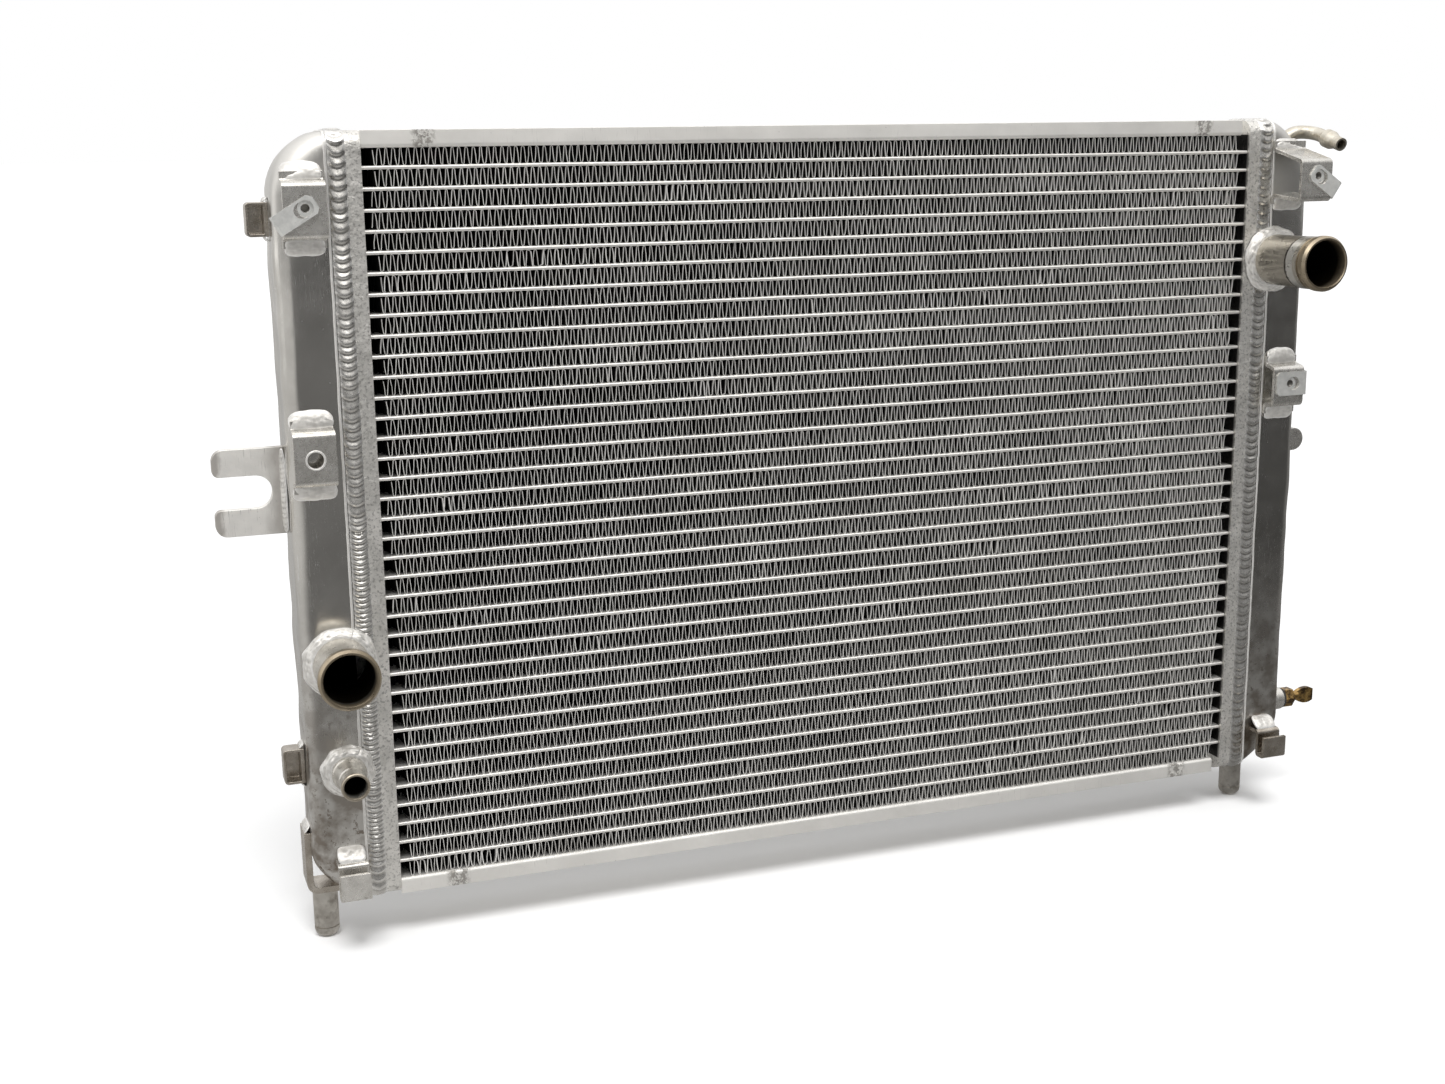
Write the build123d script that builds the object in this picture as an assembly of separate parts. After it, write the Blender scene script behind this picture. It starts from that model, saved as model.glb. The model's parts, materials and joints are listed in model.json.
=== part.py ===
from build123d import *
import math
import os

# Crossflow aluminium car radiator.
# Modelled with X along the width, Y from the front face to the back, Z up, and with
# Z = 0 at the middle of the core and Y = 0 on the front face of the end tanks.
# Every node is shifted at the end, so that the origin is under the middle of the footprint.

# ---------------------------------------------------------------- driving dimensions (mm)
# Core
TUBE_COUNT = 36
TUBE_PITCH = 12.0
TUBE_THICK = 2.0
TUBE_WALL = 0.35
CORE_DEPTH = 42.0
CORE_HALF = 298.0            # half the distance between the two header faces
TUBE_OVERRUN = 5.0           # tube end past the header face, inside the tank
FIN_LEG = 10.0               # width of one leg of the corrugation
FIN_THICK = 0.42
FIN_GAP = 0.02               # braze gap above and below a strip
FIN_DEPTH = 40.0
FIN_END_LEFT = -293.0
FIN_END_RIGHT = 292.0
SIDE_PLATE_THICK = 1.5
SIDE_PLATE_DEPTH = 44.0
SIDE_PLATE_END_RIGHT = 292.5

# Headers and end tanks
TANK_DEPTH = 46.0            # Y
TANK_HALF_HEIGHT = 231.0     # Z
TANK_OUTER = 349.5           # |X| of the outer side
SEAM = 311.8                 # |X| where the header rim meets the tank
END_RADIUS = 36.0            # big rounding of the tank ends, seen from the front
EDGE_RADIUS = 9.0            # rounding of the tank's long edges
HEADER_THICK = 3.0
RIM_THICK = 1.8
TANK_WALL = 2.5
SLOT_CLEARANCE = 0.05
SEAM_BEAD_WIDTH = 10.5
SEAM_BEAD_HEIGHT = 1.6

# Hose necks: (X, Z) of the axis and how far the mouth stands out
NECK_RADIUS = 17.0
NECK_WALL = 1.6
NECK_BEAD_RADIUS = 18.3
NECK_DEPTH_INSIDE = 3.5      # neck end behind the tank's front face
OUTLET_AXIS = (-326.8, -79.0)
OUTLET_REACH = 39.0
INLET_AXIS = (320.6, 137.6)
INLET_REACH = 58.0
BYPASS_AXIS = (-326.4, -146.4)
BYPASS_REACH = 32.0
BYPASS_BORE = 6.8
NECK_FIT = 0.05              # radial gap between a neck and its hole

# Pressed brackets
BRACKET_WIDTH = 24.5
BRACKET_THICK = 2.5
BRACKET_BEND = 2.4           # bend radius on the middle of the strip
BRACKET_HOLE = 4.65
BRACKET_FLANGE = 6.0
FOOT_WELD_WIDTH = 6.0
FOOT_WELD_HEIGHT = 2.6
FOOT_WELD_HALF = 11.5        # half the length of a bead

# Lower hooks
HOOK_WIDTH = 18.4
HOOK_THICK = 2.5
HOOK_SLOT = 5.0
HOOK_WELD_WIDTH = 8.0
HOOK_WELD_HEIGHT = 4.0

# Locating pins
PIN_RADIUS = 7.7
PIN_Y = 24.0
PIN_FOOT = -260.0
PIN_SHOULDER_RADIUS = 8.1
PIN_SHOULDER = -234.2
LEFT_PIN_X = -342.0
RIGHT_PIN_X = 325.2

# Clip nuts
CLIP_THICK = 1.0
CLIP_GAP = 0.05
CLIP_THREAD = 2.5
CLIP_COLLAR = BRACKET_HOLE - 0.1

# Drain tap
DRAIN_Y = 20.0
DRAIN_Z = -189.0
DRAIN_BORE = 3.0
DRAIN_FIT = 0.05

MIDDLE_Y = TANK_DEPTH / 2


# ---------------------------------------------------------------- helpers
def slab_x(outline, x0, x1):
    """Extrude an outline drawn in Y and Z from x0 to x1."""
    return extrude(Plane.YZ.offset(x0) * outline, amount=x1 - x0)


def slab_y(outline, y0, y1):
    """Extrude an outline drawn in X and Z from y0 to y1."""
    plane = Plane(origin=(0, y0, 0), x_dir=(1, 0, 0), z_dir=(0, -1, 0))
    return extrude(plane * outline, amount=-(y1 - y0))


def box(x0, x1, y0, y1, z0, z1):
    """A box between two corners."""
    corner = Pos((x0 + x1) / 2, (y0 + y1) / 2, (z0 + z1) / 2)
    return corner * Box(x1 - x0, y1 - y0, z1 - z0)


def rod_y(x, z, radius, y0, y1):
    """A cylinder along Y."""
    return Pos(x, (y0 + y1) / 2, z) * Rot(90, 0, 0) * Cylinder(radius, y1 - y0)


def rod_x(y, z, radius, x0, x1):
    """A cylinder along X."""
    return Pos((x0 + x1) / 2, y, z) * Rot(0, 90, 0) * Cylinder(radius, x1 - x0)


def turned_y(axis, outline):
    """Turn a closed outline of (radius, Y) points about an axis along Y."""
    face = make_face(Polyline(*[(r, y, 0) for r, y in outline], close=True))
    return Pos(axis[0], 0, axis[1]) * revolve(face, Axis.Y)


def strip(points, radii, thick, plane, width):
    """A sheet-metal strip bent along a path in a plane, extruded by its width."""
    path = FilletPolyline(*points, radius=radii)
    outline = trace(path, line_width=thick)
    return extrude(plane * outline, amount=width)


# ---------------------------------------------------------------- core
def tube_levels():
    """Height of the middle of each flat tube."""
    middle = (TUBE_COUNT - 1) / 2
    return [(i - middle) * TUBE_PITCH for i in range(TUBE_COUNT)]


def cooling_tubes():
    """Flat tubes with rounded noses, open at both ends."""
    end = CORE_HALF + TUBE_OVERRUN
    outer = SlotOverall(CORE_DEPTH, TUBE_THICK)
    inner = SlotOverall(CORE_DEPTH - 2 * TUBE_WALL, TUBE_THICK - 2 * TUBE_WALL)
    tube = slab_x(Pos(MIDDLE_Y, 0) * (outer - inner), -end, end)
    return [Pos(0, 0, z) * tube for z in tube_levels()]


def fin_strips():
    """One corrugated strip in each gap between the tubes, and one outside each end tube."""
    rise = TUBE_PITCH - TUBE_THICK - 2 * FIN_GAP
    band = FIN_THICK * math.hypot(FIN_LEG, rise) / FIN_LEG
    legs = int((FIN_END_RIGHT - FIN_END_LEFT) / FIN_LEG)
    start = (FIN_END_LEFT + FIN_END_RIGHT - legs * FIN_LEG) / 2
    lower = [(start + i * FIN_LEG, (i % 2) * (rise - band) - rise / 2) for i in range(legs + 1)]
    upper = [(x, z + band) for x, z in reversed(lower)]
    wave = make_face(Polyline(*lower, *upper, close=True))
    front = MIDDLE_Y - FIN_DEPTH / 2
    fin = slab_y(wave, front, front + FIN_DEPTH)
    gaps = [(i - TUBE_COUNT / 2) * TUBE_PITCH for i in range(TUBE_COUNT + 1)]
    return [Pos(0, 0, z) * fin for z in gaps]


def side_plate(sign):
    """U channel that closes the core above (sign 1) or below (sign -1), open side outwards."""
    inner = (TUBE_COUNT + 1) / 2 * TUBE_PITCH - TUBE_THICK / 2
    outline = [
        (-SIDE_PLATE_DEPTH / 2 + SIDE_PLATE_THICK / 2, TANK_HALF_HEIGHT),
        (-SIDE_PLATE_DEPTH / 2 + SIDE_PLATE_THICK / 2, inner + SIDE_PLATE_THICK / 2),
        (SIDE_PLATE_DEPTH / 2 - SIDE_PLATE_THICK / 2, inner + SIDE_PLATE_THICK / 2),
        (SIDE_PLATE_DEPTH / 2 - SIDE_PLATE_THICK / 2, TANK_HALF_HEIGHT),
    ]
    path = FilletPolyline(*outline, radius=1.6)
    channel = Pos(MIDDLE_Y, 0) * trace(path, line_width=SIDE_PLATE_THICK)
    plate = slab_x(channel, -CORE_HALF + 0.1, SIDE_PLATE_END_RIGHT)
    return plate if sign > 0 else mirror(plate, Plane.XY)


# ---------------------------------------------------------------- headers and tanks
def rim_outline(inset):
    """Rounded rectangle of the header rim, drawn in Y and Z."""
    width = TANK_DEPTH - 2 * inset
    height = 2 * (TANK_HALF_HEIGHT - inset)
    return Pos(MIDDLE_Y, 0) * RectangleRounded(width, height, EDGE_RADIUS - inset)


def header_skin():
    """Right-hand header filled solid."""
    return slab_x(rim_outline(0), CORE_HALF, SEAM)


def tank_skin():
    """Right-hand end tank filled solid, with big rounded ends and rounded long edges."""
    width = TANK_OUTER - SEAM
    block = Pos((SEAM + TANK_OUTER) / 2, 0) * Rectangle(width, 2 * TANK_HALF_HEIGHT)
    outer_corners = block.vertices().sort_by(Axis.X)[-2:]
    body = slab_y(fillet(outer_corners, END_RADIUS), 0, TANK_DEPTH)
    rims = body.faces().sort_by(Axis.Y)
    long_edges = [
        edge
        for rim in (rims[0], rims[-1])
        for edge in rim.edges()
        if abs(edge.center().X - SEAM) > 0.01
    ]
    return fillet(long_edges, EDGE_RADIUS)


def end_tank(skin):
    """Hollow the tank from the side that faces the header."""
    mouth = skin.faces().sort_by(Axis.X)[0]
    return offset(skin, amount=-TANK_WALL, openings=mouth, kind=Kind.INTERSECTION)


def header_plate():
    """Tray that the tubes pass through; its rim is welded to the tank."""
    hollow = slab_x(rim_outline(RIM_THICK), CORE_HALF + HEADER_THICK, SEAM)
    slot = SlotOverall(CORE_DEPTH + 2 * SLOT_CLEARANCE, TUBE_THICK + 2 * SLOT_CLEARANCE)
    slots = Sketch() + [Pos(MIDDLE_Y, z) * slot for z in tube_levels()]
    cut = slab_x(slots, CORE_HALF - 1, CORE_HALF + HEADER_THICK + 1)
    return header_skin() - hollow - cut


def seam_bead():
    """Weld bead that runs right round the seam between header and tank."""
    start = SEAM - SEAM_BEAD_WIDTH / 2
    ring = slab_x(rim_outline(-SEAM_BEAD_HEIGHT), start, start + SEAM_BEAD_WIDTH)
    ends = ring.faces().filter_by(Axis.X)
    ring = chamfer([edge for face in ends for edge in face.edges()], SEAM_BEAD_HEIGHT - 0.1)
    return ring - slab_x(rim_outline(0), start - 1, start + SEAM_BEAD_WIDTH + 1)


# ---------------------------------------------------------------- hose necks
def hose_neck(axis, reach, collar):
    """Tube with a rolled bead at its mouth; a collar marks where a spun section is joined on."""
    tube = NECK_RADIUS
    bore = tube - NECK_WALL
    outline = [
        (bore, NECK_DEPTH_INSIDE),
        (tube, NECK_DEPTH_INSIDE),
        (tube, -reach + 8.5),
        (NECK_BEAD_RADIUS, -reach + 5.5),
        (NECK_BEAD_RADIUS, -reach + 2.0),
        (NECK_BEAD_RADIUS - 1.4, -reach),
        (bore + 0.5, -reach),
        (bore, -reach + 0.8),
    ]
    neck = turned_y(axis, outline)
    for start, end, rise in collar:
        ring = rod_y(*axis, tube + rise, start, end) - rod_y(*axis, bore + 0.4, start, end)
        neck = neck + ring
    return neck


def bypass_neck():
    """Small machined neck with a broad foot and a tapered shoulder."""
    outline = [
        (BYPASS_BORE, NECK_DEPTH_INSIDE),
        (10.5, NECK_DEPTH_INSIDE),
        (10.5, -8.0),
        (10.0, -8.8),
        (8.4, -19.0),
        (7.9, -20.0),
        (7.9, -BYPASS_REACH + 4.0),
        (8.6, -BYPASS_REACH + 2.6),
        (8.6, -BYPASS_REACH + 0.7),
        (8.0, -BYPASS_REACH),
        (BYPASS_BORE + 0.4, -BYPASS_REACH),
        (BYPASS_BORE, -BYPASS_REACH + 0.6),
    ]
    return turned_y(BYPASS_AXIS, outline)


def neck_weld(axis, radius, spread, skin):
    """Fillet weld round the foot of a neck, trimmed to the tank's skin."""
    outline = [
        (radius, 7.0),
        (radius + spread, 7.0),
        (radius + spread, -0.6),
        (radius + spread * 0.75, -2.4),
        (radius + spread * 0.35, -4.2),
        (radius, -5.2),
    ]
    return turned_y(axis, outline) - skin


# ---------------------------------------------------------------- pressed brackets
# name: (X of the strip's middle, Z of the foot, Z of the face, reach, half foot, half face)
BRACKETS = {
    "upper_left_bracket": (-332.3, 187.6, 187.6, 12.0, 15.6, 14.7),
    "middle_left_bracket": (-335.2, 47.0, 46.6, 12.0, 15.6, 14.7),
    "middle_right_bracket": (331.5, 50.8, 50.2, 12.0, 14.0, 12.5),
    "upper_right_bracket": (329.5, 196.0, 191.0, 32.0, 15.0, 12.8),
}
# name: (X, Z) of the bolt hole
BRACKET_HOLES = {
    "upper_left_bracket": (-332.2, 188.7),
    "middle_left_bracket": (-335.1, 46.4),
    "middle_right_bracket": (332.6, 52.3),
    "upper_right_bracket": (330.9, 194.1),
}


def hat_bracket(name):
    """Strip bent into a hat: two feet on the tank, two walls and a face with a bolt hole."""
    x, z_foot, z_face, reach, half_foot, half_face = BRACKETS[name]
    foot_y = -BRACKET_THICK / 2
    face_y = -reach + BRACKET_THICK / 2
    points = [
        (foot_y, z_foot + half_foot + BRACKET_FLANGE),
        (foot_y, z_foot + half_foot),
        (face_y, z_face + half_face),
        (face_y, z_face - half_face),
        (foot_y, z_foot - half_foot),
        (foot_y, z_foot - half_foot - BRACKET_FLANGE),
    ]
    plane = Plane.YZ.offset(x - BRACKET_WIDTH / 2)
    hat = strip(points, BRACKET_BEND, BRACKET_THICK, plane, BRACKET_WIDTH)
    hole = BRACKET_HOLES[name]
    return hat - rod_y(*hole, BRACKET_HOLE, -reach - 1, -reach + BRACKET_THICK + 1)


def weld_run(x0, x1, z, width, height):
    """Straight weld bead along X on the tank's front face."""
    radius = (height**2 + (width / 2) ** 2) / (2 * height)
    bar = rod_x(radius - height, z, radius, x0, x1)
    return bar & box(x0, x1, -height, 0, z - width / 2, z + width / 2)


def bracket_welds(skins):
    """A bead along the free edge of each foot of each hat bracket."""
    inner = SEAM + SEAM_BEAD_WIDTH / 2 + 0.1
    keep = box(inner, 400, -9, 9, -300, 300)
    keep += mirror(keep, Plane.YZ)
    runs = []
    for x, z_foot, _, _, half_foot, _ in BRACKETS.values():
        edge = half_foot + BRACKET_FLANGE + FOOT_WELD_WIDTH / 2 + 0.1
        for z in (z_foot - edge, z_foot + edge):
            bead = weld_run(x - FOOT_WELD_HALF, x + FOOT_WELD_HALF, z, FOOT_WELD_WIDTH, FOOT_WELD_HEIGHT)
            runs.append((bead & keep) - skins)
    return runs


# ---------------------------------------------------------------- lower hooks
# name: (X of the middle, Z of the top, Z of the lip's top, Z of the bottom)
HOOKS = {
    "left_lower_hook": (-328.0, -201.8, -206.0, -223.4),
    "right_lower_hook": (331.0, -199.8, -203.6, -219.2),
}
HOOK_WALL_Y = -10.75         # middle of the hook's back wall


def lower_hook(name, skins):
    """J-shaped hook, open at the top, that takes the lower tab of a fan shroud."""
    x, z_top, z_lip, z_bottom = HOOKS[name]
    half = HOOK_THICK / 2
    lip_y = HOOK_WALL_Y - HOOK_THICK - HOOK_SLOT
    points = [
        (8.0, z_top - half),
        (HOOK_WALL_Y, z_top - half),
        (HOOK_WALL_Y, z_bottom + half),
        (lip_y, z_bottom + half),
        (lip_y, z_lip),
    ]
    plane = Plane.YZ.offset(x - HOOK_WIDTH / 2)
    return strip(points, 1.6, HOOK_THICK, plane, HOOK_WIDTH) - skins


def hook_welds(skins):
    """A heavy bead on top of each hook, against the tank."""
    runs = []
    half = HOOK_WIDTH / 2 - 0.2
    for x, z_top, _, _ in HOOKS.values():
        z = z_top + HOOK_WELD_WIDTH / 2 + 0.2
        runs.append(weld_run(x - half, x + half, z, HOOK_WELD_WIDTH, HOOK_WELD_HEIGHT) - skins)
    return runs


# ---------------------------------------------------------------- side brackets
FORK_Z = 24.5
FORK_TIP = -391.0
FORK_Y = (22.0, 27.0)
FORK_HALF = 26.0
FORK_SLOT = 9.8              # half the width of the slot
FORK_SLOT_END = -357.2
FORK_CORNER_RADIUS = 7.0
FORK_MOUTH_RADIUS = 4.0
TAB_REACH = 12.6
TAB_WALL = 1.6
TAB_Y = (19.0, 31.0)
TABS = {"upper_left_tab": (172.2, 191.6), "lower_left_tab": (-157.6, -135.6)}
LUG_Z = 6.2
LUG_TIP = 371.4
LUG_RADIUS = 8.1
LUG_Y = (21.0, 26.0)
STRAP_THICK = 4.0
STRAP_Y = (14.0, 34.0)
STRAP_TOP = -188.5
STRAP_FOOT = -228.6          # underside of the strap


def fork_bracket():
    """Plate with a slot open at its outer end, for a rubber-bushed stud."""
    plate = box(FORK_TIP, -TANK_OUTER, *FORK_Y, FORK_Z - FORK_HALF, FORK_Z + FORK_HALF)
    tips = plate.edges().filter_by(Axis.Y).group_by(Axis.X)[0]
    plate = fillet(tips, FORK_CORNER_RADIUS)
    end = FORK_SLOT_END - FORK_SLOT
    slot = rod_y(end, FORK_Z, FORK_SLOT, 0, 60)
    slot += box(FORK_TIP - 5, end, 0, 60, FORK_Z - FORK_SLOT, FORK_Z + FORK_SLOT)
    plate = plate - slot
    mouth = [
        edge
        for edge in plate.edges().filter_by(Axis.Y)
        if abs(edge.center().X - FORK_TIP) < 0.01 and abs(edge.center().Z - FORK_Z) < FORK_SLOT + 0.01
    ]
    return fillet(mouth, FORK_MOUTH_RADIUS)


def side_tab(z0, z1):
    """Shallow pressed box, open at the front, on the left tank's outer side."""
    x0, x1 = -TANK_OUTER - TAB_REACH, -TANK_OUTER
    y0, y1 = TAB_Y
    shell = box(x0, x1, y0, y1, z0, z1)
    shell = fillet(shell.edges().filter_by(Axis.Y).group_by(Axis.X)[0], 2.5)
    pocket = box(x0 + TAB_WALL, x1 - 2.4, y0 - 1, y1 - 2.0, z0 + TAB_WALL, z1 - TAB_WALL)
    pocket = fillet(pocket.edges().filter_by(Axis.Y), 0.9)
    return shell - pocket


def side_lug():
    """Round-ended stop plate on the right tank's outer side."""
    centre = LUG_TIP - LUG_RADIUS
    plate = box(TANK_OUTER, centre, *LUG_Y, LUG_Z - LUG_RADIUS, LUG_Z + LUG_RADIUS)
    return plate + rod_y(centre, LUG_Z, LUG_RADIUS, *LUG_Y)


def pin_strap(skins):
    """Bent strap under the left tank's rounded end that carries the left locating pin."""
    half = STRAP_THICK / 2
    points = [
        (-TANK_OUTER - half, STRAP_TOP),
        (-TANK_OUTER - half, STRAP_FOOT + half),
        (-322.0, STRAP_FOOT + half),
    ]
    plane = Plane(origin=(0, STRAP_Y[1], 0), x_dir=(1, 0, 0), z_dir=(0, -1, 0))
    strap = strip(points, 5.0, STRAP_THICK, plane, STRAP_Y[1] - STRAP_Y[0])
    return strap - skins


def locating_pin(x, z_top, skins, shoulder=None):
    """Domed pin with a shallow groove near its foot, and a welded shoulder from a given height up."""
    length = z_top - PIN_FOOT
    pin = Pos(x, PIN_Y, PIN_FOOT + length / 2) * Cylinder(PIN_RADIUS, length)
    foot = pin.edges().filter_by(GeomType.CIRCLE).sort_by(Axis.Z)[0]
    pin = fillet(foot, 5.2)
    if shoulder is not None:
        height = z_top - shoulder
        pin += Pos(x, PIN_Y, shoulder + height / 2) * Cylinder(PIN_SHOULDER_RADIUS, height)
    ring = Cylinder(PIN_RADIUS + 1, 0.9) - Cylinder(PIN_RADIUS - 0.6, 0.9)
    return pin - Pos(x, PIN_Y, PIN_FOOT + 6.9) * ring - skins


def side_welds(skins):
    """Beads at the roots of the fork, tabs, lug and strap, along Z on the tanks' sides."""
    roots = [(-1, FORK_Y[0] - 1.6, FORK_Z - 25.0, FORK_Z + 25.0)]
    roots += [(-1, TAB_Y[1] + 1.6, z0 + 1.0, z1 - 1.0) for z0, z1 in TABS.values()]
    roots += [(1, LUG_Y[0] - 1.6, LUG_Z - 8.0, LUG_Z + 8.0)]
    runs = []
    for side, y, z0, z1 in roots:
        x = side * TANK_OUTER
        bar = Pos(x, y, (z0 + z1) / 2) * Cylinder(1.55, z1 - z0)
        runs.append(fillet(bar.edges().filter_by(GeomType.CIRCLE), 0.9) - skins)
    top = Pos(-TANK_OUTER, PIN_Y, STRAP_TOP + 2.1) * Rot(90, 0, 0) * Cylinder(2.0, 18.0)
    runs.append(fillet(top.edges().filter_by(GeomType.CIRCLE), 0.9) - skins)
    return runs


# ---------------------------------------------------------------- overflow tube
OVERFLOW_RADIUS = 4.5
OVERFLOW_BORE = 3.2
OVERFLOW_PATH = [(332.0, 17.0, 215.0), (345.5, 17.0, 222.2), (360.5, 17.0, 223.3), (360.5, -15.5, 214.0)]
OVERFLOW_BENDS = [14.0, 11.0]
BARB_RADIUS = 6.2


def overflow_path():
    """Middle line of the overflow tube."""
    return FilletPolyline(*OVERFLOW_PATH, radius=OVERFLOW_BENDS)


def overflow_run(radius):
    """Round rod along the overflow tube's route."""
    path = overflow_path()
    start = Plane(origin=path @ 0, z_dir=path % 0)
    return sweep(start * Circle(radius), path=path)


def overflow_tube():
    """Bent vent tube with a barb near its mouth."""
    mouth = Vector(*OVERFLOW_PATH[-1])
    inward = (Vector(*OVERFLOW_PATH[-2]) - mouth).normalized()
    plane = Plane(origin=mouth, z_dir=inward)
    barb = plane * Pos(0, 0, 8.5) * Cone(OVERFLOW_RADIUS, BARB_RADIUS, 5.0)
    barb += plane * Pos(0, 0, 13.5) * Cylinder(BARB_RADIUS, 5.0)
    barb += plane * Pos(0, 0, 17.5) * Cone(BARB_RADIUS, OVERFLOW_RADIUS, 3.0)
    return overflow_run(OVERFLOW_RADIUS) + barb - overflow_run(OVERFLOW_BORE)


# ---------------------------------------------------------------- drain tap
BUNG_END = 362.5
HEX_START = 364.0
HEX_END = 372.0
HEX_FLATS = 13.0
WING_START = 376.0
WING_END = 391.5
SHANK_RADIUS = 5.5
SEAT_X = 346.5
STEM_START = 350.0


def drain_bung():
    """Threaded boss on the tank."""
    boss = rod_x(DRAIN_Y, DRAIN_Z, 8.2, TANK_OUTER, BUNG_END)
    boss = chamfer(boss.edges().filter_by(GeomType.CIRCLE).sort_by(Axis.X)[-1], 0.8)
    return boss - rod_x(DRAIN_Y, DRAIN_Z, SHANK_RADIUS + DRAIN_FIT, TANK_OUTER - 1, BUNG_END + 1)


def drain_washer():
    """Flat sealing ring between the boss and the tap."""
    ring = rod_x(DRAIN_Y, DRAIN_Z, 7.4, BUNG_END, HEX_START)
    return ring - rod_x(DRAIN_Y, DRAIN_Z, SHANK_RADIUS + DRAIN_FIT, BUNG_END - 1, HEX_START + 1)


def drain_body():
    """Brass body with a hexagon, a threaded shank and a bore for the stem."""
    shank = rod_x(DRAIN_Y, DRAIN_Z, SHANK_RADIUS, SEAT_X, HEX_START)
    outline = Pos(DRAIN_Y, DRAIN_Z) * RegularPolygon(HEX_FLATS / 2, 6, major_radius=False)
    hexagon = slab_x(outline, HEX_START, HEX_END) & rod_x(DRAIN_Y, DRAIN_Z, 7.3, HEX_START, HEX_END)
    lip = rod_x(DRAIN_Y, DRAIN_Z, 4.6, HEX_END, HEX_END + 1.6)
    bore = rod_x(DRAIN_Y, DRAIN_Z, DRAIN_BORE + DRAIN_FIT, SEAT_X + 1.0, HEX_END + 3)
    hole = rod_x(DRAIN_Y, DRAIN_Z, 2.0, SEAT_X - 1, SEAT_X + 2)
    return shank + hexagon + lip - bore - hole


def drain_seal():
    """Rubber disc that the stem presses onto the seat."""
    return rod_x(DRAIN_Y, DRAIN_Z, DRAIN_BORE - 0.1, SEAT_X + 1.0, STEM_START)


def drain_stem():
    """Screw with a butterfly handle."""
    shaft = rod_x(DRAIN_Y, DRAIN_Z, DRAIN_BORE, STEM_START, HEX_END + 2.4)
    shaft += rod_x(DRAIN_Y, DRAIN_Z, 3.3, HEX_END + 2.0, WING_START + 2.5)
    half = 5.8
    outline = Spline(
        (WING_START, DRAIN_Z + 2.6),
        (WING_START + 3.5, DRAIN_Z + 4.6),
        (WING_START + 7.5, DRAIN_Z + half),
        (WING_END, DRAIN_Z + 4.2),
    )
    top = Line((WING_END, DRAIN_Z + 4.2), (WING_END, DRAIN_Z))
    side = Line((WING_END, DRAIN_Z), (WING_START, DRAIN_Z))
    root = Line((WING_START, DRAIN_Z), (WING_START, DRAIN_Z + 2.6))
    wing = slab_y(make_face(outline + top + side + root), DRAIN_Y - 1.7, DRAIN_Y + 1.7)
    wing += mirror(wing, Plane(origin=(0, 0, DRAIN_Z), z_dir=(0, 0, 1)))
    return shaft + wing


# ---------------------------------------------------------------- clip nuts
# bracket: (node, side of the fold, tilt in degrees, fold distance, back length, half widths)
CLIPS = {
    "upper_left_bracket": ("upper_left_clip_nut", -1, 31.0, 18.8, 6.7, 6.0, 4.5),
    "middle_right_bracket": ("middle_right_clip_nut", 1, 0.0, 12.4, 11.6, 8.2, 5.8),
    "upper_right_bracket": ("upper_right_clip_nut", 1, 34.0, 17.7, 6.2, 6.0, 4.5),
}


def clip_nut(bracket):
    """Folded spring clip round a bracket's edge, with a threaded collar in the bolt hole."""
    _, side, tilt, fold, back, half_front, half_rear = CLIPS[bracket]
    face = -BRACKETS[bracket][3]
    front_y = face - CLIP_GAP - CLIP_THICK / 2
    rear_y = face + BRACKET_THICK + CLIP_GAP + CLIP_THICK / 2
    bend = fold + CLIP_THICK / 2
    points = [(-back, front_y), (bend, front_y), (bend, rear_y), (-5.6, rear_y)]
    plane = Plane(origin=(0, 0, -half_front))
    clip = strip(points, 1.4, CLIP_THICK, plane, 2 * half_front)
    for sign in (-1, 1):
        z_side = sorted((sign * half_rear, sign * (half_front + 1)))
        clip -= box(-20, fold + 5, face + BRACKET_THICK - 0.2, rear_y + 2, *z_side)
    corners = clip.edges().filter_by(Axis.Y).group_by(Axis.X)[0]
    clip = chamfer(corners, 2.4)
    window = slab_y(Pos(1.2, 0) * SlotOverall(11.4, 9.0), face - 3, face)
    collar = rod_y(0, 0, CLIP_COLLAR, face + 0.3, rear_y + 3.4)
    clip = clip - window + collar - rod_y(0, 0, CLIP_THREAD, face - 5, face + 15)
    if side < 0:
        clip = mirror(clip, Plane.YZ)
    turn = tilt if side > 0 else -tilt
    x, z = BRACKET_HOLES[bracket]
    return Pos(x, 0, z) * Rot(0, turn, 0) * clip


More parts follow.
